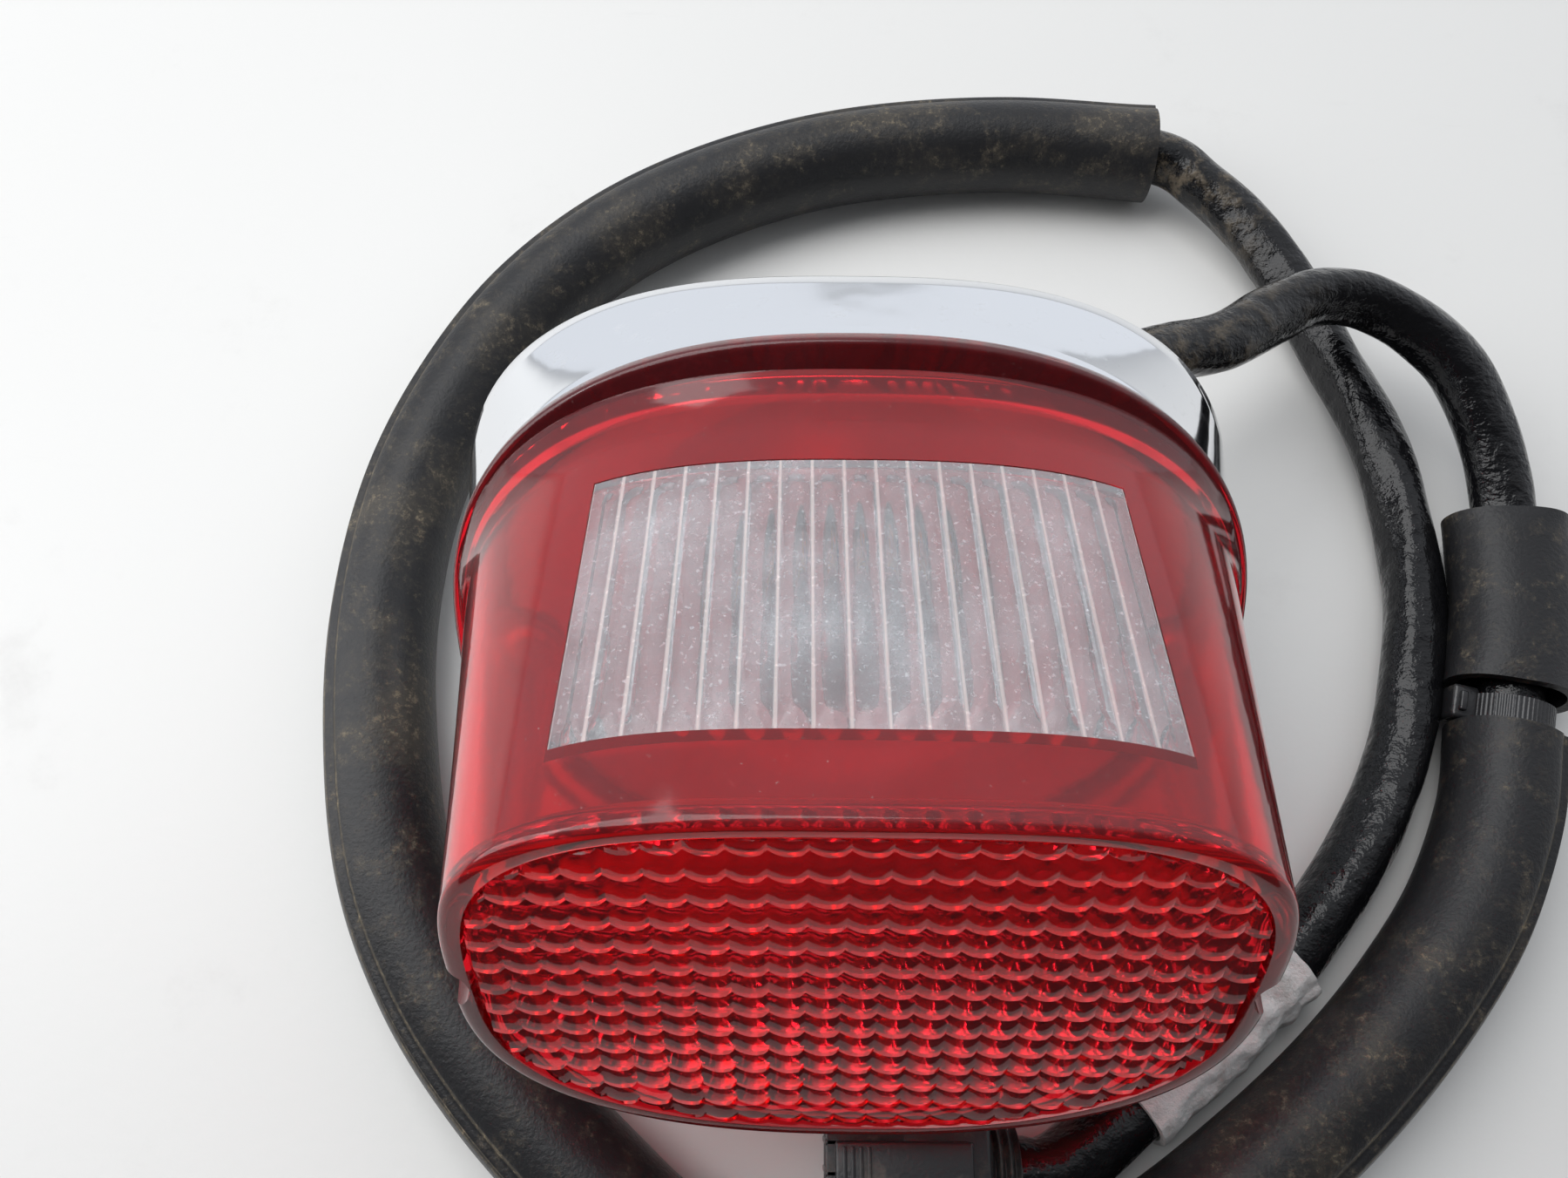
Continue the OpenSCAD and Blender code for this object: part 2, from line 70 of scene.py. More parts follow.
room = bpy.data.worlds.new("room")
room.use_nodes = True
parts = room.node_tree.nodes
direction = parts.new("ShaderNodeTexCoord")
split = parts.new("ShaderNodeSeparateXYZ")
rise = parts.new("ShaderNodeMapRange")
rise.interpolation_type = "SMOOTHSTEP"
rise.inputs["From Min"].default_value = -0.45
rise.inputs["From Max"].default_value = 0.45
blend = parts.new("ShaderNodeMix")
blend.data_type = "RGBA"
blend.inputs[6].default_value = FRONT_LIGHT
blend.inputs[7].default_value = WALL_LIGHT
wires = room.node_tree.links
wires.new(direction.outputs["Generated"], split.inputs[0])
wires.new(split.outputs[1], rise.inputs["Value"])
wires.new(rise.outputs[0], blend.inputs[0])
wires.new(blend.outputs[2], parts["Background"].inputs["Color"])
bpy.context.scene.world = room
bpy.context.scene.view_settings.view_transform = "Standard"
for name, (place, across, along, watts) in BOXES.items():
    box = bpy.data.lights.new(name, "AREA")
    box.shape = "RECTANGLE"
    box.size = across
    box.size_y = along
    box.energy = watts
    light = bpy.data.objects.new(name, box)
    light.location = place
    light.rotation_euler = (LIGHT_AIM - Vector(place)).to_track_quat("-Z", "Y").to_euler()
    bpy.context.collection.objects.link(light)


# ----------------------------------------------------------------------
# Bench: the plain white painted board that the lamp stands on, faintly scuffed.
class Value:
    """An output of a shader node; Python's operators on it add Math nodes."""

    def __init__(self, finish, socket):
        self.finish = finish
        self.socket = socket

    def maths(self, operation, first, second):
        return self.finish.node("ShaderNodeMath", {"operation": operation}, {0: first, 1: second})

    def __add__(self, other):
        return self.maths("ADD", self, other)

    def __radd__(self, other):
        return self.maths("ADD", other, self)

    def __sub__(self, other):
        return self.maths("SUBTRACT", self, other)

    def __rsub__(self, other):
        return self.maths("SUBTRACT", other, self)

    def __mul__(self, other):
        return self.maths("MULTIPLY", self, other)

    def __rmul__(self, other):
        return self.maths("MULTIPLY", other, self)

    def __truediv__(self, other):
        return self.maths("DIVIDE", self, other)


class Finish:
    """A material built from node calls and sums; lengths are in metres on the part itself."""

    def __init__(self, name):
        self.material = bpy.data.materials.new(name)
        self.material.use_nodes = True
        self.tree = self.material.node_tree
        self.tree.nodes.clear()
        self.place = self.node("ShaderNodeTexCoord", output="Object")

    def node(self, kind, settings=None, sockets=None, output=0):
        new = self.tree.nodes.new(kind)
        for name, value in (settings or {}).items():
            setattr(new, name, value)
        for name, value in (sockets or {}).items():
            if isinstance(value, Value):
                self.tree.links.new(value.socket, new.inputs[name])
            else:
                new.inputs[name].default_value = value
        return Value(self, new.outputs[output])

    def grain(self, size, detail=2.0, rough=0.5, stretch=(1, 1, 1)):
        """Cloudy variation from 0 to 1, in lumps about size across; low stretch makes them long."""
        scaled = self.node("ShaderNodeMapping", sockets={"Vector": self.place, "Scale": stretch})
        return self.node("ShaderNodeTexNoise", sockets={
            "Vector": scaled, "Scale": 1 / size, "Detail": detail, "Roughness": rough})

    def step(self, value, low, high):
        """0 below low, 1 above high and a smooth rise between."""
        return self.node("ShaderNodeMapRange", {"interpolation_type": "SMOOTHSTEP"},
                         {"Value": value, "From Min": low, "From Max": high})

    def mix(self, share, first, second):
        return self.node("ShaderNodeMix", {"data_type": "RGBA"},
                         {0: share, 6: first, 7: second}, output=2)

    def bump(self, height, depth, strength=1.0):
        return self.node("ShaderNodeBump", sockets={
            "Height": height, "Distance": depth, "Strength": strength})

    def at(self, axis):
        """The place on the part along X, Y or Z, in metres."""
        return self.node("ShaderNodeSeparateXYZ", sockets={0: self.place}, output=axis)

    def facing(self, axis):
        """How far the surface faces along X, Y or Z of the part, from -1 to 1."""
        normal = self.node("ShaderNodeNewGeometry", output="Normal")
        return self.node("ShaderNodeSeparateXYZ", sockets={0: normal}, output=axis)

    def skin(self, sockets):
        return self.node("ShaderNodeBsdfPrincipled", sockets=sockets)

    def done(self, shader):
        end = self.tree.nodes.new("ShaderNodeOutputMaterial")
        self.tree.links.new(shader.socket, end.inputs["Surface"])
        return self.material


def painted_board():
    board = Finish("painted board")
    scuffs = board.step(board.grain(0.05, 8, 0.75), 0.56, 0.74)
    streaks = board.step(board.grain(0.02, 6, 0.7, (0.25, 1.6, 1)), 0.62, 0.8)
    worn = board.mix(scuffs * 0.35, (0.80, 0.795, 0.775, 1), (0.69, 0.68, 0.66, 1))
    return board.done(board.skin({
        "Base Color": board.mix(streaks * 0.3, worn, (0.66, 0.655, 0.64, 1)),
        "Roughness": 0.38 + scuffs * 0.25,
        "Specular IOR Level": 0.35,
        "Normal": board.bump(board.grain(0.0025, 3), 0.00004)}))


BENCH = 1.6
BENCH_FRONT = 0.32

bpy.ops.mesh.primitive_plane_add(size=2 * BENCH, location=(0, BENCH - BENCH_FRONT, 0))
bench = bpy.context.object
bench.name = "bench"
bench.data.materials.append(painted_board())


# ----------------------------------------------------------------------
# Lead: four wires in one soft black sheath, 12 mm across. It leaves the back of the base, comes
# round the right-hand side, circles the lamp and ends in its plug under the front of the lens.
MM = 0.001  # every length below is in metres
LEAD_ROUTE = [  # millimetres
    (44, 45.2, 53), (44, 51.3, 47.2), (56, 62, 42), (72, 69, 37), (84, 78, 33), (95, 85, 30),
    (107, 87, 27), (118, 83, 24), (127, 75, 21), (132, 64, 17), (134.5, 53, 14), (135, 43, 12),
    (133, 25, 11.5), (128.5, 7, 11.5), (126.5, -1, 10.5), (122, -16, 10.5), (113, -33, 10.5),
    (101, -48, 10.5), (87, -62, 10.5), (71, -75, 10.5), (52, -88, 10.5), (32, -98, 10.5),
    (11, -101.5, 10.5), (-10, -99, 10.5), (-28, -90, 10.5), (-43, -78, 10.5), (-58, -64, 10.5),
    (-71, -48, 10.5), (-81, -29, 10.5), (-87, -6, 10.5), (-90, 20, 10.5), (-88, 48, 10.5),
    (-80, 73, 10.5), (-67, 96, 10.5), (-48, 115, 10.5), (-24, 129, 10.5), (4, 138, 10.5),
    (38, 141.5, 10.5), (73, 139, 10.5), (85, 131, 9.5), (95, 119, 8), (103, 103, 7), (109, 86, 7),
    (114, 69, 7), (117, 52, 7), (117, 34, 7), (114, 17, 7), (109, 0, 7), (101, -16, 7),
    (91, -30, 7), (80, -42, 7), (65, -55, 7), (50, -67, 8), (40, -74, 9), (34, -77, 9.5),
    (29, -77, 9.5)]
LEAD_R = 6 * MM
LEAD_LENGTH = 1.028
COVER_FIRST, COVER_LAST = 14, 38  # the points of the route that the cover runs between
RING_STEP = 1.2 * MM
CURVE_STEPS = 24


def smooth_route(points):
    """Points a ring step apart on one smooth curve through the route's own points."""
    given = np.array(points, float) * MM
    ends = np.vstack([2 * given[0] - given[1], given, 2 * given[-1] - given[-2]])
    curve = []
    for k in range(1, len(ends) - 2):
        a, b, c, d = ends[k - 1:k + 3]
        for t in np.linspace(0, 1, CURVE_STEPS, endpoint=False):
            curve.append(0.5 * (2 * b + (c - a) * t + (2 * a - 5 * b + 4 * c - d) * t * t
                                + (3 * b - a - 3 * c + d) * t ** 3))
    curve = np.array(curve + [given[-1]])
    along = np.r_[0, np.cumsum(np.linalg.norm(np.diff(curve, axis=0), axis=1))]
    even = np.linspace(0, along[-1], max(3, int(along[-1] / RING_STEP) + 1))
    return np.stack([np.interp(even, along, curve[:, k]) for k in range(3)], axis=1), even


def add_mesh(name, points, faces, material, sharp=40):
    data = bpy.data.meshes.new(name)
    data.from_pydata([tuple(p) for p in points], [], [tuple(f) for f in faces])
    return add_piece(name, data, material, sharp)


def add_piece(name, data, material, sharp):
    data.materials.append(material)
    piece = bpy.data.objects.new(name, data)
    bpy.context.collection.objects.link(piece)
    return crease(piece, sharp)


def crease(piece, sharp):
    """Joins doubled points and shades smooth, except over edges sharper than the given angle."""
    shape = bmesh.new()
    shape.from_mesh(piece.data)
    bmesh.ops.remove_doubles(shape, verts=shape.verts, dist=1e-6)
    bmesh.ops.recalc_face_normals(shape, faces=shape.faces)
    for face in shape.faces:
        face.smooth = True
    for edge in shape.edges:
        edge.smooth = len(edge.link_faces) == 2 and edge.calc_face_angle(0) < math.radians(sharp)
    shape.to_mesh(piece.data)
    shape.free()
    return piece


def bridge(first, second, count):
    """Faces between two rings of count points that start at the given indices."""
    return [(first + k, first + (k + 1) % count, second + (k + 1) % count, second + k)
            for k in range(count)]


def tube_frames(route):
    """For each point of a route: the way to its right, up, and on along it."""
    heads = np.gradient(route, axis=0)
    heads /= np.linalg.norm(heads, axis=1, keepdims=True)
    side = np.cross(heads, (0, 0, 1.0))
    side /= np.linalg.norm(side, axis=1, keepdims=True)
    return side, np.cross(side, heads), heads


def sweep(name, route, along, radius, material, sides=40, bore=None, sharp=40):
    """A tube whose radius(distance along, angle) may vary; a bore makes it a sleeve."""
    side, lift, heads = tube_frames(route)
    angles = np.arange(sides) * 2 * math.pi / sides
    walls = [radius] if bore is None else [radius, bore]
    points = []
    for wall in walls:
        for i, centre in enumerate(route):
            for angle in angles:
                r = wall(along[i], angle)
                points.append(centre + r * (math.cos(angle) * side[i] + math.sin(angle) * lift[i]))
    rings = len(route)
    faces = []
    for wall in range(len(walls)):
        first = wall * rings * sides
        for i in range(rings - 1):
            faces += bridge(first + i * sides, first + (i + 1) * sides, sides)
    last = (rings - 1) * sides
    if bore is None:
        faces += [tuple(range(sides)), tuple(range(last, last + sides))]
    else:
        inner = rings * sides
        faces += bridge(0, inner, sides) + bridge(last, inner + last, sides)
    return add_mesh(name, points, faces, material, sharp)


def black_sheath():
    sheath = Finish("black sheath")
    dust = sheath.step(sheath.grain(0.012, 6, 0.65), 0.56, 0.72)
    fine = sheath.grain(0.0007, 3, 0.6)
    at_right = sheath.step(sheath.at(0), 0.060, 0.105)
    by_lamp = (1 - at_right) * sheath.step(sheath.at(1), 0.03, 0.05)
    by_cover = sheath.step(sheath.at(1), 0.105, 0.135)
    soil = sheath.step(sheath.grain(0.006, 6, 0.75), 0.46, 0.66)
    brown = (by_lamp * 0.45 + by_cover * 0.55) * soil
    clean = sheath.mix(dust * 0.25, (0.006, 0.006, 0.007, 1), (0.07, 0.066, 0.06, 1))
    return sheath.done(sheath.skin({
        "Base Color": sheath.mix(brown * (0.5 + fine * 0.6), clean, (0.24, 0.19, 0.13, 1)),
        "Roughness": 0.09 + dust * 0.22 + brown * 0.5,
        "Specular IOR Level": 0.34,
        "Normal": sheath.bump(sheath.grain(0.006, 4, 0.6) + fine * 0.08, 0.0012, 0.8)}))


def creased(along, angle):
    """A slack sheath over four wires: a little twisted and wrinkled."""
    spot = Vector((along * 42, math.cos(angle) * 0.9, math.sin(angle) * 0.9))
    fold = noise.noise(spot) * 0.085
    fold += noise.noise(spot * 2.7) * 0.035
    wires = 0.045 * math.cos(3 * angle + along * 95 + 1.3 * math.sin(along * 37))
    slack = min(1, along / (12 * MM), max(0, (LEAD_LENGTH - along) / (12 * MM)))
    return LEAD_R * (0.97 + slack * (fold + wires))


lead_route, lead_along = smooth_route(LEAD_ROUTE)
lead = sweep("sheathed_lead", lead_route, lead_along, creased, black_sheath(), 36)
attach(lead, "lamp")
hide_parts("lead_sheath")

# ----------------------------------------------------------------------
# Cover: a thick extruded rubber hose with a moulded seam, pushed over the lead where it would
# rub. Both ends are cut by hand, and tan road dust has settled on it and along its seam.
COVER_R = 10.5 * MM
COVER_BORE = 7.4 * MM
COVER_LENGTH = 0.568
SEAM = 0.76  # half turns from the cover's inner side, over its top


def dusty_rubber():
    rubber = Finish("dusty rubber")
    film = rubber.grain(0.03, 7, 0.7)
    patches = rubber.step(film, 0.48, 0.72)
    specks = rubber.step(rubber.grain(0.0016, 6, 0.8), 0.50, 0.66)
    streaks = rubber.step(rubber.grain(0.006, 8, 0.8), 0.50, 0.66)
    up = rubber.step(rubber.facing(2), 0.1, 0.95)
    outward = rubber.facing(0) * rubber.at(0) + rubber.facing(1) * rubber.at(1)
    lift = rubber.facing(2)
    by_seam = rubber.step(lift, 0.50, 0.60) * (1 - rubber.step(lift, 0.66, 0.80))
    line = by_seam * rubber.step(outward, 0.01, 0.04) * (0.15 + specks * 0.5 + streaks * 0.25)
    tan = patches * (0.14 + specks * 0.6) * (0.4 + up * 0.6)
    tan = line + tan + streaks * (0.10 + specks * 0.40)
    grey = rubber.mix(rubber.grain(0.05, 3), (0.012, 0.012, 0.013, 1), (0.024, 0.024, 0.026, 1))
    return rubber.done(rubber.skin({
        "Base Color": rubber.mix(tan, grey, (0.30, 0.245, 0.165, 1)),
        "Roughness": 0.36 + tan * 0.4 + specks * 0.06,
        "Specular IOR Level": 0.30,
        "Normal": rubber.bump(rubber.grain(0.0008, 4, 0.6) + film * 2, 0.00016, 0.8)}))


def seamed(along, angle):
    """Round, with a low moulded seam along the outer side and hand-cut, slightly flared ends."""
    off = (angle - math.pi * SEAM + math.pi) % (2 * math.pi) - math.pi
    ridge = 0.05 * math.exp(-(off / 0.05) ** 2) - 0.03 * math.exp(-((abs(off) - 0.14) / 0.05) ** 2)
    end = min(along, max(0, COVER_LENGTH - along))
    flare = 0.02 * math.exp(-end / (5 * MM))
    sag = 0.015 * noise.noise(Vector((along * 22, math.cos(angle), math.sin(angle))))
    return COVER_R * (0.985 + ridge + flare + sag)


def cover_bore(along, angle):
    return COVER_BORE * (1 + 0.01 * math.cos(2 * angle + along * 30))


cover_route, cover_along = smooth_route(LEAD_ROUTE[COVER_FIRST:COVER_LAST + 1])
cover = sweep("rubber_hose", cover_route, cover_along, seamed, dusty_rubber(), 144, cover_bore, 50)
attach(cover, "lamp")
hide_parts("rubber_cover")

# ----------------------------------------------------------------------
# Joint sleeve: a short, slack band cut from the same rubber, wider than the lead and pressed
# flat by handling; it covers the place where the lead's outer sheath ends.
SLEEVE_FIRST, SLEEVE_LAST = 11, 13
SLEEVE_R = 11 * MM
SLEEVE_WALL = 2.1 * MM

sleeve_route, sleeve_along = smooth_route(LEAD_ROUTE[SLEEVE_FIRST:SLEEVE_LAST + 1])
SLEEVE_LENGTH = sleeve_along[-1]


def slack_band(along, angle):
    flat = 0.10 * math.cos(2 * angle)
    lip = 0.05 * math.exp(-min(along, SLEEVE_LENGTH - along) / (3 * MM)) * math.sin(3 * angle + 1)
    return SLEEVE_R * (0.96 + flat + lip + 0.02 * noise.noise(Vector((along * 90, angle, 2))))


def slack_bore(along, angle):
    return slack_band(along, angle) - SLEEVE_WALL


sleeve = sweep("joint_band", sleeve_route, sleeve_along, slack_band, dusty_rubber(), 64,
               slack_bore, 50)
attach(sleeve, "lamp")
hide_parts("joint_sleeve")

# ----------------------------------------------------------------------
# Cable tie: a moulded black nylon strap with a ribbed band and a square locking head, pulled
# tight round the lead between the band and the hose.
TIE_W = 4.4 * MM
TIE_IN_R, TIE_OUT_R = 6.5 * MM, 7.75 * MM
TIE_STEPS = 240
RIB_RISE = 0.12 * MM


def moulded_nylon(name, gloss):
    nylon = Finish(name)
    scratch = nylon.step(nylon.grain(0.004, 6, 0.7, (1, 0.3, 1)), 0.58, 0.72)
    dust = nylon.step(nylon.grain(0.008, 5, 0.7), 0.54, 0.75)
    base = nylon.mix(nylon.grain(0.02), (0.016, 0.016, 0.018, 1), (0.03, 0.03, 0.032, 1))
    return nylon.done(nylon.skin({
        "Base Color": nylon.mix(dust * 0.45, base, (0.20, 0.175, 0.14, 1)),
        "Roughness": gloss + scratch * 0.18 + dust * 0.3,
        "Normal": nylon.bump(nylon.grain(0.0006, 3), 0.00005)}))


def lathe_frame(centre, head):
    """A frame whose Z runs along head and whose Y is up."""
    z = Vector(head).normalized()
    x = Vector((0, 0, 1)).cross(z).normalized()
    y = z.cross(x)
    return Matrix.Translation(Vector(centre)) @ Matrix((x, y, z)).transposed().to_4x4()


def add_block(shape, low, high, place, round_by):
    """A box with rounded edges, from low to high in the given frame."""
    made = bmesh.ops.create_cube(shape, size=1)["verts"]
    low, high = Vector(low), Vector(high)
    for vert in made:
        vert.co = Vector([(low[k] + high[k]) / 2 + vert.co[k] * (high[k] - low[k])
                          for k in range(3)])
    edges = list({edge for vert in made for edge in vert.link_edges})
    made = bmesh.ops.bevel(shape, geom=edges, offset=round_by, segments=3, affect="EDGES",
                           profile=0.5)["verts"]
    bmesh.ops.transform(shape, matrix=place, verts=made)


def finish_shape(name, shape, material, sharp=40):
    data = bpy.data.meshes.new(name)
    shape.to_mesh(data)
    shape.free()
    return add_piece(name, data, material, sharp)


tie_start = Vector(LEAD_ROUTE[SLEEVE_LAST]) * MM
tie_end = Vector(LEAD_ROUTE[COVER_FIRST]) * MM
tie_place = lathe_frame((tie_start + tie_end) / 2, tie_end - tie_start)
tie_points = []
for r, z in ((TIE_IN_R, -0.5), (TIE_OUT_R, -0.5), (TIE_OUT_R, 0.5), (TIE_IN_R, 0.5)):
    for k in range(TIE_STEPS):
        ribbed = r + (RIB_RISE if r == TIE_OUT_R and k % 4 < 2 else 0)
        a = 2 * math.pi * k / TIE_STEPS
        tie_points.append(tie_place @ Vector((ribbed * math.cos(a), ribbed * math.sin(a),
                                              z * TIE_W)))
tie_faces = []
for k in range(4):
    tie_faces += bridge(k * TIE_STEPS, (k + 1) % 4 * TIE_STEPS, TIE_STEPS)
nylon_black = moulded_nylon("black nylon", 0.22)
tie = add_mesh("cable_tie_strap", tie_points, tie_faces, nylon_black, 30)
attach(tie, "lamp")
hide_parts("cable_tie")

head_shape = bmesh.new()
add_block(head_shape, (-0.0115, -0.003, -0.0033), (-0.0068, 0.003, 0.0033), tie_place, 0.0007)
add_block(head_shape, (-0.0105, -0.012, -0.0019), (-0.0092, 0.004, 0.0019), tie_place, 0.0003)
tie_head = finish_shape("cable_tie_head", head_shape, nylon_black)
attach(tie_head, "lamp")

# ----------------------------------------------------------------------
# Marker wrap: a strip of thin white sleeving wound loosely round the lead near the plug and
# creased by handling. It carries no print.
WRAP_FIRST, WRAP_LAST = 50, 52
WRAP_R = 6.7 * MM


def white_sleeving():
    paper = Finish("white sleeving")
    grime = paper.step(paper.grain(0.006, 6, 0.7), 0.48, 0.72)
    pink = paper.step(paper.grain(0.012, 3), 0.5, 0.7)
    base = paper.mix(pink * 0.4, (0.80, 0.79, 0.77, 1), (0.74, 0.62, 0.60, 1))
    return paper.done(paper.skin({
        "Base Color": paper.mix(grime * 0.5, base, (0.36, 0.32, 0.28, 1)),
        "Roughness": 0.42 + grime * 0.2,
        "Normal": paper.bump(paper.grain(0.0022, 6, 0.65), 0.0006)}))


def crumpled(along, angle):
    spot = Vector((along * 150, 1.6 * math.cos(angle), 1.6 * math.sin(angle)))
    return WRAP_R * (1.06 + 0.16 * abs(noise.noise(spot)) + 0.08 * noise.noise(spot * 2.3)
                     + 0.03 * math.cos(angle * 2 - along * 260))


wrap_route, wrap_along = smooth_route(LEAD_ROUTE[WRAP_FIRST:WRAP_LAST + 1])
wrap = sweep("white_sleeving", wrap_route, wrap_along, crumpled, white_sleeving(), 72,
             lambda along, angle: LEAD_R * 1.03, 35)
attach(wrap, "lamp")
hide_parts("marker_wrap")

# ----------------------------------------------------------------------
# Plug: a moulded black nylon housing with eight square cells in its open end, raised ribs on
# its sides, a sprung latch lever on top and a ribbed rubber seal where the lead goes in.
plug_low, plug_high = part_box("plug_housing")
seal_low, seal_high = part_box("plug_seal")
lever_low, lever_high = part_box("plug_lever")
plug_mid = (plug_low + plug_high) / 2
CELL = 3.6 * MM
CELL_PITCH = 4.6 * MM
CELL_DEPTH = 12 * MM
PLUG_EDGE = 0.9 * MM
LEVER_T = 1.8 * MM
UPRIGHT = Matrix.Identity(4)


def plug_shell():
    """The housing as a block whose left end is a lattice round eight sunk cells."""
    shape = bmesh.new()
    add_block(shape, plug_low + Vector((CELL_DEPTH, 0, 0)), plug_high, UPRIGHT, PLUG_EDGE)
    rows = [plug_low.y, *[plug_mid.y + (k - 1.5) * CELL_PITCH + s * CELL / 2 for k in range(4)
                          for s in (-1, 1)], plug_high.y]
    floors = [plug_low.z, *[plug_mid.z + (k - 0.5) * CELL_PITCH + s * CELL / 2 for k in range(2)
                            for s in (-1, 1)], plug_high.z]
    left, right = plug_low.x, plug_low.x + CELL_DEPTH + PLUG_EDGE
    for k in range(0, len(rows), 2):
        add_block(shape, (left, rows[k], plug_low.z), (right, rows[k + 1], plug_high.z), UPRIGHT,
                  0.25 * MM)
    for k in range(0, len(floors), 2):
        add_block(shape, (left + 0.2 * MM, plug_low.y + 0.4 * MM, floors[k]),
                  (right, plug_high.y - 0.4 * MM, floors[k + 1]), UPRIGHT, 0.2 * MM)
    for y in (plug_low.y, plug_high.y):
        for lift in (-5, 0, 5):
            z = plug_mid.z + lift * MM
            add_block(shape, (left + 5 * MM, y - 0.6 * MM, z - 0.7 * MM),
                      (plug_high.x - 2 * MM, y + 0.6 * MM, z + 0.7 * MM), UPRIGHT, 0.3 * MM)
    for x in (left + 6 * MM, left + 12 * MM):
        for y in (plug_low.y + 1 * MM, plug_high.y - 4 * MM):
            add_block(shape, (x, y, plug_high.z - 0.5 * MM),
                      (x + 1.4 * MM, y + 3 * MM, plug_high.z + 1.2 * MM), UPRIGHT, 0.3 * MM)
    return shape


plug_nylon = moulded_nylon("plug nylon", 0.32)
plug = finish_shape("plug_body", plug_shell(), plug_nylon)
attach(plug, "lamp")
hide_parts("plug_housing")


def latch_lever():
    """A thin sprung bar with a thumb pad at its free end, a step and a root in the housing."""
    shape = bmesh.new()
    add_block(shape, (lever_low.x, lever_low.y, lever_high.z - LEVER_T), lever_high, UPRIGHT,
              0.5 * MM)
    add_block(shape, (lever_high.x - 3 * MM, lever_low.y, lever_low.z),
              (lever_high.x, lever_high.y, lever_high.z - 0.3 * MM), UPRIGHT, 0.4 * MM)
    for k in range(4):
        x = lever_low.x + (1.2 + 1.3 * k) * MM
        add_block(shape, (x, lever_low.y + 0.8 * MM, lever_high.z - 0.2 * MM),
                  (x + 0.6 * MM, lever_high.y - 0.8 * MM, lever_high.z + 0.35 * MM), UPRIGHT,
                  0.15 * MM)
    return shape


lever = finish_shape("plug_latch", latch_lever(), plug_nylon)
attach(lever, "plug_lever")
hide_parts("plug_lever")


def loft(name, rings, material, sharp=35, closed_first=True, closed_last=True):
    """A skin over rings of equal count, with flat ends where they are closed."""
    count = len(rings[0])
    points = [point for ring in rings for point in ring]
    faces = []
    for k in range(len(rings) - 1):
        faces += bridge(k * count, (k + 1) * count, count)
    if closed_first:
        faces.append(tuple(range(count)))
    if closed_last:
        faces.append(tuple(range((len(rings) - 1) * count, len(rings) * count)))
    return add_mesh(name, points, faces, material, sharp)


def lathe(name, profile, place, material, sides=96, sharp=35):
    """A turned piece: (radius, height) pairs that meet again or are closed by flat ends."""
    angles = [2 * math.pi * k / sides for k in range(sides)]
    rings = [[place @ Vector((r * math.cos(a), r * math.sin(a), h)) for a in angles]
             for r, h in profile]
    ends = profile[0] != profile[-1]
    return loft(name, rings, material, sharp, ends, ends)


def black_rubber():
    rubber = Finish("black rubber")
    dust = rubber.step(rubber.grain(0.005, 6, 0.7), 0.50, 0.72)
    return rubber.done(rubber.skin({
        "Base Color": rubber.mix(dust * 0.5, (0.022, 0.022, 0.023, 1), (0.17, 0.15, 0.12, 1)),
        "Roughness": 0.55 + dust * 0.25,
        "Normal": rubber.bump(rubber.grain(0.0007, 3), 0.00012)}))


seal_mid = (seal_low + seal_high) / 2
seal_r = (seal_high.z - seal_low.z) / 2
seal_l = seal_high.x - seal_low.x
SEAL_RIBS = 3
SEAL_STEPS = 72
seal_profile = [(LEAD_R * 1.04, 0)]
for k in range(SEAL_STEPS + 1):
    t = k / SEAL_STEPS
    wave = 0.93 + 0.07 * math.cos(2 * math.pi * SEAL_RIBS * t)
    seal_profile.append((seal_r * wave, seal_l * t))
seal_profile += [(LEAD_R * 1.04, seal_l), (LEAD_R * 1.04, 0)]
black_rubber_finish = black_rubber()
seal_place = lathe_frame((seal_low.x, seal_mid.y, seal_mid.z), (1, 0, 0))
seal = lathe("plug_boot", seal_profile, seal_place, black_rubber_finish)
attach(seal, "lamp")
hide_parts("plug_seal")

# ----------------------------------------------------------------------
# Base: sheet steel pressed into a deep oval dish and chromed bright. Its rim carries the gasket
# and the lens, and its back carries three studs, the socket and the wire outlet.
LENS_W, LENS_H, LENS_LENGTH = 131 * MM, 104 * MM, 69 * MM
FACE_W, FACE_H, FACE_DROP = 104 * MM, 77 * MM, 3 * MM
FLANGE_OUT, FLANGE_SIDE, FLANGE_T = 5.5 * MM, 2 * MM, 4 * MM
GASKET_T = 2 * MM
BASE_DEPTH, BASE_WALL = 23.5 * MM, 2 * MM
BACK_W, BACK_H, BACK_RISE = 133 * MM, 88.5 * MM, 5.75 * MM
BASE_ROUND, FLOOR_INSET = 6 * MM, 22 * MM
JOINT_ROUND, BACK_ROUND = 2.4, 2.7
STANCE_PITCH, JOINT_TILT, FACE_TILT, BACK_TILT = 28, 11, 3, 16
RIM_H = LENS_H - 2 * MM
STANCE_Y = 7.5 * MM
STANCE_H = (RIM_H / 2 * math.cos(math.radians(STANCE_PITCH + JOINT_TILT))
            + (GASKET_T + 1 * MM) * math.sin(math.radians(STANCE_PITCH + JOINT_TILT)))
OVAL_STEPS = 240


def turn(degrees):
    return Matrix.Rotation(math.radians(degrees), 4, "X")


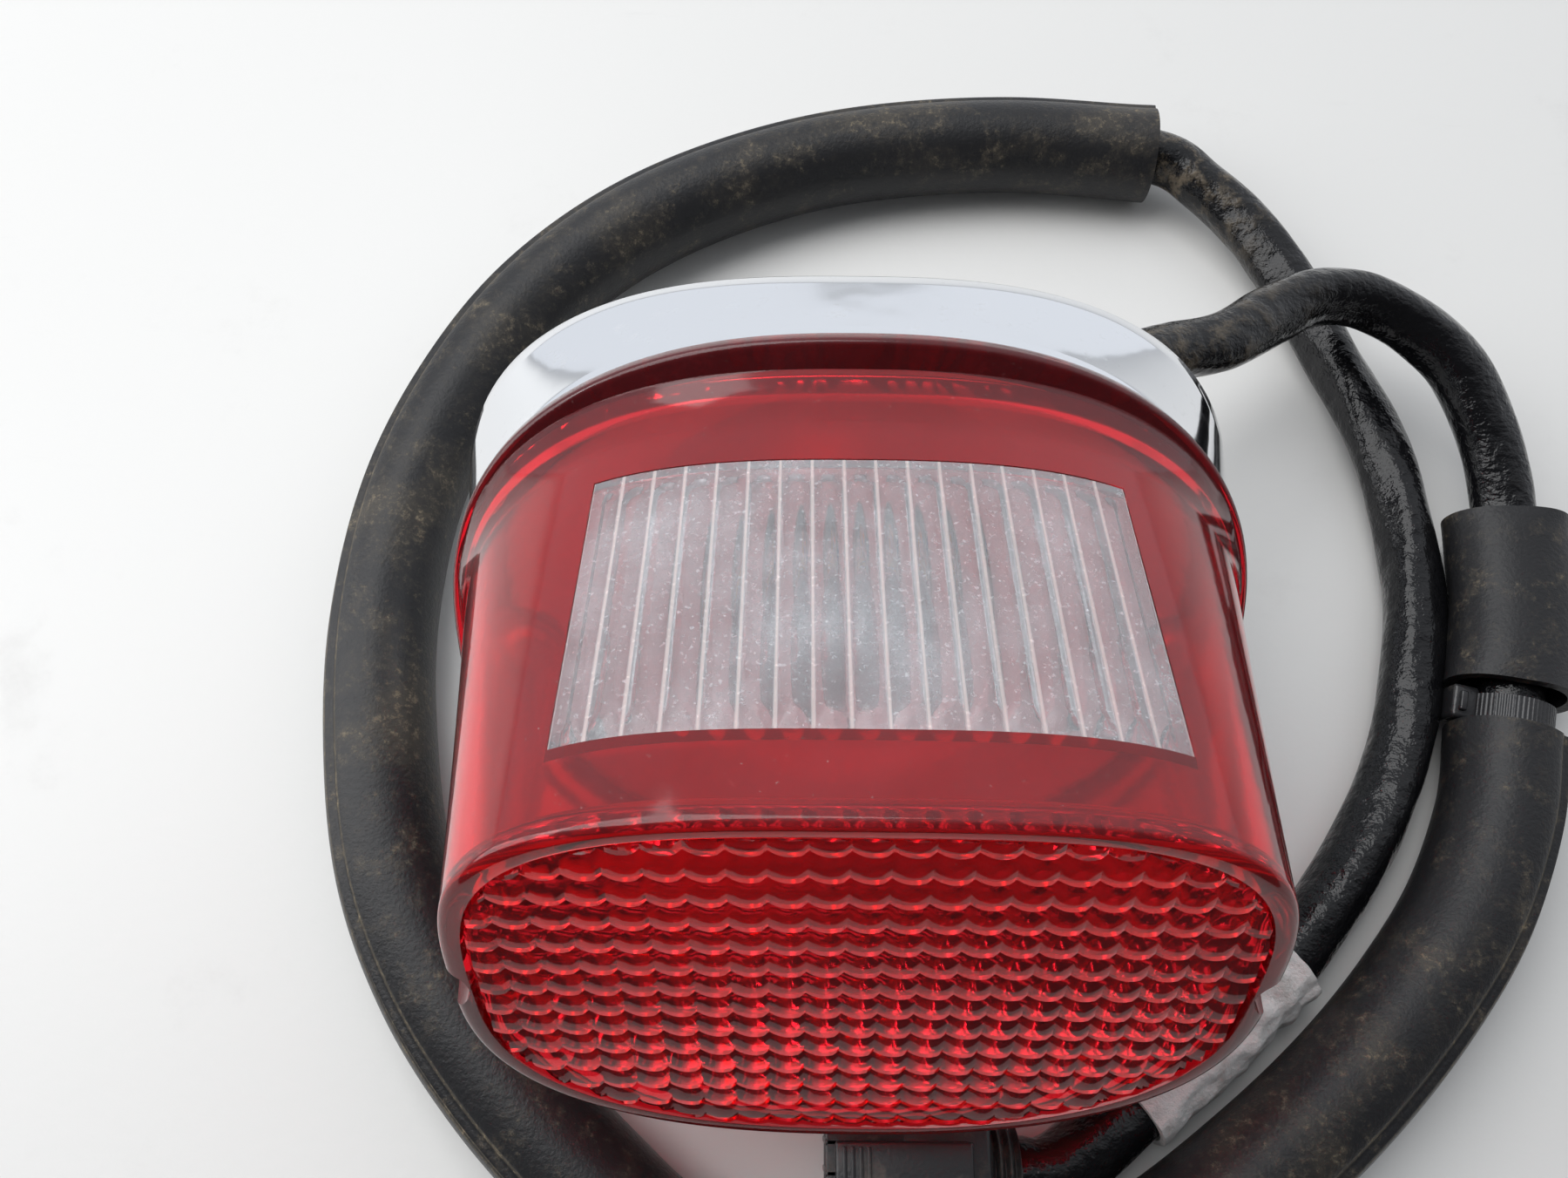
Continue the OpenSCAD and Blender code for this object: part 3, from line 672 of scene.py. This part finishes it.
# Frames whose Z points out of the lens, whose X is to the right and whose Y is up
lamp = Matrix.Translation((0, STANCE_Y, STANCE_H)) @ turn(-STANCE_PITCH)
at_joint = lamp @ turn(-JOINT_TILT) @ turn(90)
at_face = lamp @ Matrix.Translation((0, -LENS_LENGTH, -FACE_DROP)) @ turn(FACE_TILT) @ turn(90)
at_back = lamp @ Matrix.Translation((0, BASE_DEPTH, 0)) @ turn(-BACK_TILT) @ turn(90)
straight = lamp @ turn(90)


def oval_reach(x, y, width, height, power, low=None):
    """1 on a rounded outline, less inside it; the lower half may have its own roundness."""
    n = low if low and y < 0 else power
    return (abs(2 * x / width) ** n + abs(2 * y / height) ** n) ** (1 / n)


def oval(width, height, power, place, out, rise=0.0, steps=OVAL_STEPS, low=None):
    """Points of a rounded outline at a distance out of a plane."""
    ring = []
    for k in range(steps):
        a = 2 * math.pi * k / steps
        c, s = math.cos(a), math.sin(a)
        r = 1 / oval_reach(c, s, width, height, power, low)
        ring.append(place @ Vector((r * c, r * s + rise, out)))
    return ring


def blend_rings(first, second, share):
    return [a.lerp(b, share) for a, b in zip(first, second)]


def bright_chrome():
    chrome = Finish("bright chrome")
    haze = chrome.step(chrome.grain(0.03, 6, 0.7), 0.45, 0.8)
    pits = chrome.step(chrome.grain(0.0013, 4, 0.7), 0.70, 0.78)
    dust = chrome.step(chrome.grain(0.006, 7, 0.75), 0.56, 0.78)
    wiped = chrome.mix(dust * 0.16, (0.86, 0.875, 0.90, 1), (0.62, 0.60, 0.56, 1))
    return chrome.done(chrome.skin({
        "Base Color": chrome.mix(pits * 0.5, wiped, (0.30, 0.26, 0.22, 1)),
        "Metallic": 1 - dust * 0.25 - pits * 0.4,
        "Roughness": 0.055 + haze * 0.06 + dust * 0.16 + pits * 0.3,
        "Normal": chrome.bump(chrome.grain(0.02, 2), 0.00012)}))


base_rings = [oval(LENS_W - 6 * MM, RIM_H - 4 * MM, JOINT_ROUND, at_joint, -GASKET_T),
              oval(LENS_W - 2.6 * MM, RIM_H - 0.6 * MM, JOINT_ROUND, at_joint, -GASKET_T),
              oval(LENS_W - 2 * MM, RIM_H, JOINT_ROUND, at_joint, -GASKET_T - 0.4 * MM)]
back_edge = oval(BACK_W, BACK_H, BACK_ROUND, at_back, BASE_ROUND, BACK_RISE)
for k in range(1, 9):
    base_rings.append(blend_rings(base_rings[2], back_edge, k / 8))
for k in range(1, 9):
    a = math.radians(90 * k / 8)
    inset = BASE_ROUND * (1 - math.cos(a))
    base_rings.append(oval(BACK_W - 2 * inset, BACK_H - 2 * inset, BACK_ROUND, at_back,
                           BASE_ROUND * (1 - math.sin(a)), BACK_RISE))
for inset in (14 * MM, 17 * MM, 18.5 * MM, FLOOR_INSET):
    base_rings.append(oval(BACK_W - 2 * inset, BACK_H - 2 * inset, BACK_ROUND, at_back, 0,
                           BACK_RISE))
for share in (0.7, 0.4, 0.1):
    base_rings.append(oval((BACK_W - 2 * FLOOR_INSET) * share, (BACK_H - 2 * FLOOR_INSET) * share,
                           JOINT_ROUND, at_back, 0, BACK_RISE * share))

chrome_finish = bright_chrome()
base = loft("pressed_base", base_rings, chrome_finish, 50, closed_first=False)
wall = base.modifiers.new("sheet", "SOLIDIFY")
wall.thickness = BASE_WALL - 0.2 * MM
wall.offset = -1
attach(base, "lamp")
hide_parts("chrome_base")

# ----------------------------------------------------------------------
# Gasket: a flat ring cut from black rubber sheet, squeezed between the base's rim and the lens.
GASKET_WIDTH, GASKET_INSET = 7 * MM, 1.5 * MM
gasket_rings = []
for inset, out in ((GASKET_WIDTH, -GASKET_T), (GASKET_INSET, -GASKET_T), (1.1 * MM, -GASKET_T / 2),
                   (GASKET_INSET, 0), (GASKET_WIDTH, 0), (GASKET_WIDTH, -GASKET_T)):
    gasket_rings.append(oval(LENS_W - 2 * inset, LENS_H - 2 * inset, JOINT_ROUND, at_joint, out))
gasket = loft("rim_gasket", gasket_rings, black_rubber_finish, 50, False, False)
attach(gasket, "lamp")
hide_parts("lens_gasket")

# ----------------------------------------------------------------------
# Reflector: a plate with a round dish pressed into it, metallised bright and gone a little
# hazy. The socket comes up through the hole in the dish.
DISH_R, DISH_RISE, DISH_HOLE, DISH_DEPTH = 38 * MM, 5 * MM, 13 * MM, 11 * MM
PLATE_BACK = 1.8 * MM


def hazy_silver():
    silver = Finish("hazy silver")
    haze = silver.step(silver.grain(0.015, 6, 0.7), 0.4, 0.8)
    specks = silver.step(silver.grain(0.001, 4, 0.7), 0.66, 0.76)
    return silver.done(silver.skin({
        "Base Color": silver.mix(specks * 0.5, (0.93, 0.96, 1.0, 1), (0.55, 0.52, 0.50, 1)),
        "Metallic": 0.20 - specks * 0.1,
        "Roughness": 0.30 + haze * 0.12 + specks * 0.2,
        "Normal": silver.bump(silver.grain(0.006, 3), 0.0001)}))


def dish_ring(r, out):
    return oval(2 * r, 2 * r, 2, at_joint, out - PLATE_BACK, DISH_RISE)


dish_rings = [oval(LENS_W - 15 * MM, LENS_H - 15 * MM, JOINT_ROUND, at_joint, 1 * MM - PLATE_BACK)]
dish_rings.append(blend_rings(dish_rings[0], dish_ring(DISH_R, 1 * MM), 0.6))
dish_rings.append(dish_ring(DISH_R + 0.8 * MM, 1 * MM))
for k in range(13):
    r = DISH_R - (DISH_R - DISH_HOLE) * k / 12
    share = (r - DISH_HOLE) / (DISH_R - DISH_HOLE)
    dish_rings.append(dish_ring(r, 0.8 * MM - DISH_DEPTH * (1 - share ** 2)))
reflector = loft("reflector_dish", dish_rings, hazy_silver(), 50, False, False)
sheet = reflector.modifiers.new("sheet", "SOLIDIFY")
sheet.thickness = 0.8 * MM
sheet.offset = -1
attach(reflector, "lamp")
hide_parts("reflector")

# ----------------------------------------------------------------------
# Red lens: one acrylic moulding. A flange meets the gasket, the walls taper to a rounded lip,
# and the end face inside the lip is a field of small prisms. Two channels hold the screws.
LENS_WALL, FACE_T, EDGE_R, LIP_W, PRISM_DEPTH = 2.6 * MM, 4 * MM, 1.4 * MM, 1.5 * MM, 1.4 * MM
WAIST_W, WAIST_H = LENS_W - 2 * FLANGE_SIDE, LENS_H - 2 * FLANGE_OUT
WAIST_ROUND, FACE_ROUND, FACE_LOW_ROUND = 2.6, 3.5, 2.35
SCREW_X, CHANNEL_R, PAD_T, SCREW_R = 54.5 * MM, 5 * MM, 6 * MM, 2 * MM
FIELD_INSET = EDGE_R + LIP_W
TILE_COLUMNS, TILE_ROWS = 21, 14
TILE_BOW, TILE_STEP, TILE_CROWN, TILE_TILT = 0.8 * MM, 0.85 * MM, 0.2 * MM, 0.34 * MM
TILE_CUTS = 6
WINDOW_W, WINDOW_L, WINDOW_SETBACK = 75 * MM, 46 * MM, 10.5 * MM
WINDOW_FRONT = WINDOW_SETBACK - LENS_LENGTH


def red_acrylic():
    red = Finish("red acrylic")
    up = red.step(red.facing(2), 0.25, 0.95)
    film = red.step(red.grain(0.035, 7, 0.7), 0.35, 0.75)
    wiped = red.step(red.grain(0.02, 5, 0.65, (1, 0.35, 1)), 0.45, 0.7)
    specks = red.step(red.grain(0.0009, 4, 0.7), 0.63, 0.74)
    dust = (up * (0.05 + film * 0.08 + wiped * 0.04) + 0.006) * (0.75 + specks * 1.4)
    acrylic = red.skin({
        "Base Color": red.mix(film * 0.2, (0.93, 0.010, 0.022, 1), (0.86, 0.010, 0.03, 1)),
        "Roughness": 0.04 + up * 0.05 + specks * 0.08,
        "IOR": 1.49,
        "Transmission Weight": 0.95,
        "Normal": red.bump(red.grain(0.012, 3), 0.00006)})
    soiled = red.skin({
        "Base Color": red.mix(specks, (0.50, 0.10, 0.12, 1), (0.62, 0.50, 0.48, 1)),
        "Roughness": 0.55})
    return red.done(red.node("ShaderNodeMixShader", sockets={0: dust, 1: acrylic, 2: soiled}))


def face_ring(inset, out):
    return oval(FACE_W - 2 * inset, FACE_H - 2 * inset, FACE_ROUND, at_face, out,
                low=FACE_LOW_ROUND)


def wall_rings(inset, front, count):
    """Rings of the lens wall from the joint to the start of the face's rounding."""
    joint = oval(WAIST_W - 2 * inset, WAIST_H - 2 * inset, WAIST_ROUND, at_joint, 1 * MM)
    end = face_ring(inset, -EDGE_R - front)
    return [blend_rings(joint, end, k / count) for k in range(count + 1)]


def lens_outside():
    rings = [oval(LENS_W - 1.2 * MM, LENS_H - 1.2 * MM, JOINT_ROUND, at_joint, 0),
             oval(LENS_W - 0.3 * MM, LENS_H - 0.3 * MM, JOINT_ROUND, at_joint, 0.3 * MM),
             oval(LENS_W, LENS_H, JOINT_ROUND, at_joint, 0.9 * MM)]
    for k in range(7):
        a = math.radians(90 * k / 6)
        inset = 1.1 * MM * (1 - math.cos(a))
        rings.append(oval(LENS_W - 2 * inset, LENS_H - 2 * inset, JOINT_ROUND, at_joint,
                          FLANGE_T - 1.1 * MM * (1 - math.sin(a))))
    foot = oval(WAIST_W + 1.2 * MM, WAIST_H + 2 * MM, WAIST_ROUND, at_joint, FLANGE_T + 0.1 * MM)
    rings.append(foot)
    wall = wall_rings(0, 0, 16)
    rings.append(blend_rings(foot, wall[2], 0.45))
    rings += wall[2:]
    for k in range(1, 9):
        a = math.radians(90 * k / 8)
        rings.append(face_ring(EDGE_R * (1 - math.cos(a)), -EDGE_R * (1 - math.sin(a))))
    rings.append(face_ring(FIELD_INSET - 0.6 * MM, 0))
    rings.append(face_ring(FIELD_INSET - 0.15 * MM, -0.15 * MM))
    rings.append(face_ring(FIELD_INSET, -0.6 * MM))
    rings.append(face_ring(FIELD_INSET + 0.1 * MM, -PRISM_DEPTH))
    return rings


def lens_inside():
    rings = [oval(WAIST_W - 2 * LENS_WALL, WAIST_H - 2 * LENS_WALL, WAIST_ROUND, at_joint, -4 * MM)]
    rings += wall_rings(LENS_WALL, FACE_T - 1 * MM, 12)
    for k in range(1, 6):
        a = math.radians(90 * k / 5)
        rings.append(face_ring(LENS_WALL + 1.5 * MM * (1 - math.cos(a)),
                               -FACE_T - 1.2 * MM * (1 - math.sin(a))))
    return rings


def cut(piece, tool):
    """Takes the tool's solid out of the piece and removes the tool."""
    knife = piece.modifiers.new("cut", "BOOLEAN")
    knife.operation = "DIFFERENCE"
    knife.solver = "EXACT"
    knife.object = tool
    graph = bpy.context.evaluated_depsgraph_get()
    made = bpy.data.meshes.new_from_object(piece.evaluated_get(graph))
    piece.modifiers.clear()
    piece.data = made
    bpy.data.objects.remove(tool, do_unlink=True)


def round_tool(place, x, y, radius, low, high, steps=64):
    rings = [oval(2 * radius, 2 * radius, 2, place, out, steps=steps) for out in (low, high)]
    shift = place.to_3x3() @ Vector((x, y, 0))
    rings = [[point + shift for point in ring] for ring in rings]
    return loft("tool", rings, red_finish)


def window_tool():
    """The window's plan, pushed up through the lens's upper side."""
    half, back = WINDOW_W / 2, WINDOW_FRONT + WINDOW_L
    plan = [(-half, WINDOW_FRONT), (half, WINDOW_FRONT), (half, back), (-half, back)]
    rings = [[lamp @ Vector((x, y, z)) for x, y in plan] for z in (15 * MM, 90 * MM)]
    return loft("tool", rings, red_finish)


def prism_field():
    """Rows of shingle-like prisms with bowed lower edges, trimmed to the field's outline."""
    width, height = FACE_W - 2 * FIELD_INSET - 0.2 * MM, FACE_H - 2 * FIELD_INSET - 0.2 * MM
    across, down = width / TILE_COLUMNS, height / TILE_ROWS
    points, faces = [], []

    def trimmed(x, y, out):
        reach = oval_reach(x, y, width, height, FACE_ROUND, FACE_LOW_ROUND)
        if reach > 1:
            x, y, out = x / reach, y / reach, -PRISM_DEPTH
        return at_face @ Vector((x, y, out)), reach

    for row in range(TILE_ROWS + 1):
        first = len(points)
        columns = TILE_COLUMNS * TILE_CUTS
        reaches = []
        for j in range(TILE_CUTS + 2):
            t = min(j / TILE_CUTS, 1)
            riser = j == TILE_CUTS + 1
            for i in range(columns + 1):
                s = (i % TILE_CUTS) / TILE_CUTS
                x = -width / 2 + across * i / TILE_CUTS
                y = height / 2 - down * (row + t - 0.5) - TILE_BOW * (1 - (2 * s - 1) ** 2)
                crown = TILE_CROWN * (1 - (2 * s - 1) ** 2) * math.sin(math.pi * t * 0.5)
                tilt = TILE_TILT * s * min(1, 2 * t)
                rise = 0 if riser else TILE_STEP * (1 - (1 - t) ** 2) + crown + tilt
                point, reach = trimmed(x, y, -PRISM_DEPTH + rise)
                points.append(point)
                reaches.append(reach)
        for j in range(TILE_CUTS + 1):
            for i in range(columns):
                a = j * (columns + 1) + i
                corners = (a, a + 1, a + columns + 2, a + columns + 1)
                if min(reaches[c] for c in corners) < 1:
                    faces.append(tuple(first + c for c in corners))
    return points, faces


red_finish = red_acrylic()
outside = loft("red_lens_moulding", lens_outside(), red_finish, 60)
outer_skin = BVHTree.FromObject(outside, bpy.context.evaluated_depsgraph_get())
inside = loft("tool", lens_inside(), red_finish)
for side in (-1, 1):
    cut(inside, round_tool(straight, side * SCREW_X, 0, CHANNEL_R + LENS_WALL, 5 * MM, 90 * MM))
cut(outside, inside)
for side in (-1, 1):
    cut(outside, round_tool(straight, side * SCREW_X, 0, CHANNEL_R, PAD_T, 90 * MM))
    cut(outside, round_tool(straight, side * SCREW_X, 0, SCREW_R + 0.4 * MM, -10 * MM, 20 * MM,
                            32))
cut(outside, window_tool())

shape = bmesh.new()
shape.from_mesh(outside.data)
to_face = at_face.inverted()
floor = [face for face in shape.faces
         if all(abs((to_face @ vert.co).z + PRISM_DEPTH) < 0.01 * MM for vert in face.verts)]
bmesh.ops.delete(shape, geom=floor, context="FACES")
field_points, field_faces = prism_field()
made = [shape.verts.new(point) for point in field_points]
for corners in field_faces:
    shape.faces.new([made[k] for k in corners])
bmesh.ops.remove_doubles(shape, verts=made, dist=0.02 * MM)
for face in shape.faces:
    face.smooth = True
shape.to_mesh(outside.data)
shape.free()
red_lens = crease(outside, 32)
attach(red_lens, "lens")
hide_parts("red_lens")

# ----------------------------------------------------------------------
# Window: a clear acrylic plate glued into the lens's upper side so that light falls on the
# number plate. Flutes on its inside spread the light; its outside is dusty and finely scratched,
# and pale lines over the flute ridges are painted highlights.
FLUTES, FLUTE_CUTS, PLATE_CUTS = 17, 10, 28
FLUTE_DEPTH = 0.75 * MM
PLATE_T, PLATE_MARGIN = 2.3 * MM, 1.8 * MM
CLEARANCE = 0.12 * MM


def dusty_clear_with_painted_flute_lines():
    clear = Finish("dusty clear acrylic with painted flute highlights")
    film = clear.step(clear.grain(0.02, 7, 0.72), 0.35, 0.75)
    specks = clear.step(clear.grain(0.0008, 4, 0.75), 0.57, 0.70)
    spots = clear.step(clear.grain(0.0022, 4, 0.7), 0.64, 0.73)
    up = clear.step(clear.facing(2), 0.3, 0.95)
    flute = clear.node("ShaderNodeMath", {"operation": "PINGPONG"},
                       {0: (clear.at(0) + WINDOW_W / 2) / (WINDOW_W / FLUTES), 1: 0.5})
    # line: pale lines along the flute ridges, a painted highlight of the flutes seen through the
    # plate
    line = 1 - clear.step(flute + film * 0.03, 0.02, 0.09)
    # This mask is real dust plus the painted highlight lines over the flute ridges.
    dust = (up + 0.1) * (0.09 + film * 0.15 + specks * 0.26 + spots * 0.14 + line * 0.25)
    acrylic = clear.skin({
        "Base Color": (0.93, 0.94, 0.95, 1),
        "Roughness": 0.06 + film * 0.06,
        "IOR": 1.49,
        "Transmission Weight": 0.95,
        "Normal": clear.bump(clear.grain(0.01, 2), 0.00004)})
    # Bluish dust colour, turned pale pink on the flute lines as painted highlight.
    soiled = clear.skin({
        "Base Color": clear.mix(line, (0.86, 0.88, 0.92, 1), (0.92, 0.82, 0.79, 1)),
        "Roughness": 0.6})
    return clear.done(clear.node("ShaderNodeMixShader", sockets={0: dust, 1: acrylic, 2: soiled}))


def window_plate():
    columns, rows = FLUTES * FLUTE_CUTS, PLATE_CUTS
    half = WINDOW_W / 2 - CLEARANCE
    down = lamp.to_3x3() @ Vector((0, 0, -1))
    tops, bottoms = [], []
    for i in range(columns + 1):
        x = half * (2 * i / columns - 1)
        for j in range(rows + 1):
            t = j / rows
            y = WINDOW_FRONT + CLEARANCE + (WINDOW_L - 2 * CLEARANCE) * t
            hit = outer_skin.ray_cast(lamp @ Vector((x, y, 120 * MM)), down)[0]
            ramp = min(1, min(half - abs(x), t * WINDOW_L, (1 - t) * WINDOW_L) / PLATE_MARGIN)
            wave = abs(math.sin(math.pi * FLUTES * (i / columns))) ** 0.8
            flute = FLUTE_DEPTH * wave * (ramp >= 1)
            tops.append(hit + down * CLEARANCE)
            bottoms.append(hit + down * (PLATE_T - flute))
    points = tops + bottoms
    n = rows + 1
    faces = []
    for i in range(columns):
        for j in range(rows):
            a = i * n + j
            faces.append((a, a + n, a + n + 1, a + 1))
            b = a + len(tops)
            faces.append((b, b + 1, b + n + 1, b + n))
    border = ([i * n for i in range(columns + 1)] + [columns * n + j for j in range(1, n)]
              + [i * n + rows for i in range(columns - 1, -1, -1)]
              + [j for j in range(rows - 1, 0, -1)])
    for k, a in enumerate(border):
        b = border[(k + 1) % len(border)]
        faces.append((a, b, b + len(tops), a + len(tops)))
    return points, faces


clear_finish = dusty_clear_with_painted_flute_lines()
window = add_mesh("clear_fluted_window", *window_plate(), clear_finish, 35)
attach(window, "lens")
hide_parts("clear_window")

# ----------------------------------------------------------------------
# Lens screws: two long cross-head machine screws, plated, that lie in the lens's channels and
# pull it down on its gasket, each over a black rubber washer.
HEAD_R, HEAD_T, WASHER_T = 4.5 * MM, 3 * MM, 1 * MM
HEAD_FOOT = PAD_T + WASHER_T
BORE_R = SCREW_R + 0.1 * MM
SCREW_STEPS = 48
SIDES = (("left", -1), ("right", 1))


def plated_steel(name, tint, dull=0.0):
    plate = Finish(name)
    wear = plate.step(plate.grain(0.003, 6, 0.7), 0.5, 0.75)
    lines = plate.grain(0.0012, 4, 0.6, (1, 1, 0.2))
    worn = tuple(c * 0.6 for c in tint[:3]) + (1,)
    return plate.done(plate.skin({
        "Base Color": plate.mix(wear * 0.5, tint, worn),
        "Metallic": 0.95 - wear * 0.2,
        "Roughness": 0.22 + dull + wear * 0.22 + lines * 0.08,
        "Normal": plate.bump(lines, 0.00004)}))


zinc = plated_steel("zinc plate", (0.66, 0.67, 0.64, 1), 0.06)
screw_plate = plated_steel("screw plate", (0.76, 0.77, 0.79, 1))
screw_profile = [(0.0, -12 * MM), (SCREW_R * 0.7, -12 * MM), (SCREW_R, -11.2 * MM)]
for k in range(SCREW_STEPS + 1):
    thread = (0, -0.18, -0.3, -0.18)[k % 4] * MM
    screw_profile.append((SCREW_R + thread, -11 * MM * (1 - k / SCREW_STEPS)))
screw_profile += [(SCREW_R, HEAD_FOOT), (HEAD_R - 0.2 * MM, HEAD_FOOT),
                  (HEAD_R, HEAD_FOOT + 0.2 * MM), (HEAD_R, HEAD_FOOT + 1.4 * MM)]
for k in range(1, 6):
    a = math.radians(90 * k / 5)
    screw_profile.append((HEAD_R * math.cos(a * 0.93),
                          HEAD_FOOT + 1.4 * MM + 1.5 * MM * math.sin(a)))
screw_profile.append((0.0, HEAD_FOOT + 2.9 * MM))
washer_profile = [(BORE_R, 0), (HEAD_R, 0), (HEAD_R + 0.25 * MM, 0.3 * MM),
                  (HEAD_R + 0.25 * MM, 0.7 * MM), (HEAD_R, WASHER_T), (BORE_R, WASHER_T),
                  (BORE_R, 0)]


def cross_recess(place, top):
    """The two crossed bars of a cross-head driver's tip."""
    bars = []
    for x, y in ((2.5 * MM, 0.5 * MM), (0.5 * MM, 2.5 * MM)):
        shape = bmesh.new()
        add_block(shape, (-x, -y, top - 1.6 * MM), (x, y, top + 2 * MM), place, 0.15 * MM)
        bars.append(finish_shape("tool", shape, screw_plate))
    return bars


for name, side in SIDES:
    place = straight @ Matrix.Translation((side * SCREW_X, 0, 0))
    screw = lathe("lens_screw_" + name, screw_profile, place, screw_plate, 48, 50)
    for tool in cross_recess(place, HEAD_FOOT + HEAD_T):
        cut(screw, tool)
    crease(screw, 40)
    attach(screw, "lens")
    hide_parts("lens_screws")
    seat = place @ Matrix.Translation((0, 0, PAD_T))
    washer = lathe("screw_washer_" + name, washer_profile, seat, black_rubber_finish, 48)
    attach(washer, "lens")
    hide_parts("screw_washers")

# ----------------------------------------------------------------------
# Bosses and studs: two tapped bosses stand inside the base for the lens screws, and three zinc
# plated studs are pressed into its back, with heads inside and threads outside.
STUD_R, STUD_CIRCLE_R, STUD_RISE = 2.5 * MM, 36 * MM, -2 * MM
THREAD_PITCH = 0.8 * MM
COLLAR_R = STUD_R + 0.5 * MM
BOSS_R, BOSS_FOOT_R, BOSS_FOOT = 4.5 * MM, 6 * MM, -19 * MM
BOSS_BORE, BOSS_FRONT = SCREW_R + 0.05 * MM, -GASKET_T - 1.2 * MM
back_pitch = math.radians(STANCE_PITCH + BACK_TILT)
low_rise = STUD_RISE - STUD_CIRCLE_R / 2
back_rise = STANCE_H - BASE_DEPTH * math.sin(math.radians(STANCE_PITCH))
stud_out = (back_rise + (low_rise - STUD_R) * math.cos(back_pitch)) / math.sin(back_pitch)
stud_profile = [(0.0, -stud_out), (STUD_R - 0.5 * MM, -stud_out),
                (STUD_R - 0.05 * MM, -stud_out + 0.5 * MM)]
turns = int((stud_out - 1.5 * MM) / THREAD_PITCH)
for k in range(4 * turns + 1):
    thread = (0, -0.22, -0.42, -0.22)[k % 4] * MM
    stud_profile.append((STUD_R + thread, -stud_out + 0.7 * MM + THREAD_PITCH * k / 4))
stud_profile += [(STUD_R, -0.3 * MM), (COLLAR_R, 0), (COLLAR_R, BASE_WALL),
                 (2 * STUD_R, BASE_WALL), (2 * STUD_R, BASE_WALL + 1.6 * MM),
                 (2 * STUD_R - 0.4 * MM, BASE_WALL + 2 * MM), (0.0, BASE_WALL + 2 * MM)]
collar_profile = [(COLLAR_R, 0.1 * MM), (STUD_R + 3 * MM, -0.15 * MM),
                  (STUD_R + 3.6 * MM, -0.4 * MM), (STUD_R + 1.2 * MM, -0.9 * MM),
                  (COLLAR_R, -0.9 * MM), (COLLAR_R, 0.1 * MM)]
for name, angle in (("top", 90), ("left", 210), ("right", 330)):
    a = math.radians(angle)
    place = at_back @ Matrix.Translation((STUD_CIRCLE_R * math.cos(a),
                                          STUD_RISE + STUD_CIRCLE_R * math.sin(a), 0))
    stud = lathe("stud_" + name, stud_profile, place, zinc, 40, 50)
    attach(stud, "lamp")
    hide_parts("mounting_studs")
    collar = lathe("stud_collar_" + name, collar_profile, place, chrome_finish, 48)
    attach(collar, "lamp")

boss_profile = [(BOSS_BORE, BOSS_FRONT), (BOSS_R - 0.4 * MM, BOSS_FRONT),
                (BOSS_R, BOSS_FRONT - 0.4 * MM), (BOSS_R, BOSS_FOOT + 2 * MM),
                (BOSS_FOOT_R, BOSS_FOOT), (BOSS_BORE, BOSS_FOOT), (BOSS_BORE, BOSS_FRONT)]
for name, side in SIDES:
    place = straight @ Matrix.Translation((side * SCREW_X, 0, 0))
    boss = lathe("screw_boss_" + name, boss_profile, place, zinc, 48)
    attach(boss, "lamp")

# ----------------------------------------------------------------------
# Bulb, socket and wires: turned, drawn and stamped parts that come straight from the frame and
# take their own finishes: brass cap, smoked glass, tungsten, brown board and coloured wires.

def smoked_glass():
    glass = Finish("blown glass")
    soot = glass.step(glass.grain(0.01, 4), 0.55, 0.8)
    return glass.done(glass.skin({
        "Base Color": glass.mix(soot * 0.4, (0.50, 0.33, 0.33, 1), (0.20, 0.14, 0.14, 1)),
        "Roughness": 0.02 + soot * 0.05,
        "IOR": 1.45,
        "Transmission Weight": 1.0}))


def pressed_board():
    board = Finish("pressed brown board")
    fibre = board.grain(0.0012, 5, 0.7)
    return board.done(board.skin({
        "Base Color": board.mix(fibre, (0.16, 0.075, 0.03, 1), (0.26, 0.13, 0.06, 1)),
        "Roughness": 0.45 + fibre * 0.2,
        "Normal": board.bump(fibre, 0.00006)}))


def insulation(name, colour):
    jacket = Finish(name)
    dust = jacket.step(jacket.grain(0.004, 5, 0.7), 0.5, 0.75)
    return jacket.done(jacket.skin({
        "Base Color": jacket.mix(dust * 0.35, colour, (0.25, 0.23, 0.20, 1)),
        "Roughness": 0.32 + dust * 0.25,
        "Normal": jacket.bump(jacket.grain(0.0015, 3), 0.00006)}))


brass = plated_steel("brass", (0.80, 0.58, 0.24, 1), 0.03)
FROM_FRAME = {
    "bulb_socket": zinc, "socket_rivets": zinc, "earth_screw": zinc,
    "contact_plate": pressed_board(), "contact_buttons": brass, "bulb_cap": brass,
    "earth_tag": brass,
    "contact_spring": plated_steel("spring wire", (0.62, 0.62, 0.63, 1)),
    "bulb_filaments": plated_steel("tungsten wire", (0.45, 0.45, 0.47, 1), 0.1),
    "plug_terminals": plated_steel("tin plate", (0.72, 0.70, 0.62, 1), 0.05),
    "bulb_glass": smoked_glass(), "wire_grommet": black_rubber_finish,
    "tail_wire": insulation("blue wire", (0.03, 0.10, 0.42, 1)),
    "stop_wire": insulation("red wire", (0.45, 0.02, 0.02, 1)),
    "earth_wire": insulation("black wire", (0.02, 0.02, 0.02, 1)),
}
for node, finish in FROM_FRAME.items():
    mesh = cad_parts[node].data
    mesh.materials.clear()
    mesh.materials.append(finish)
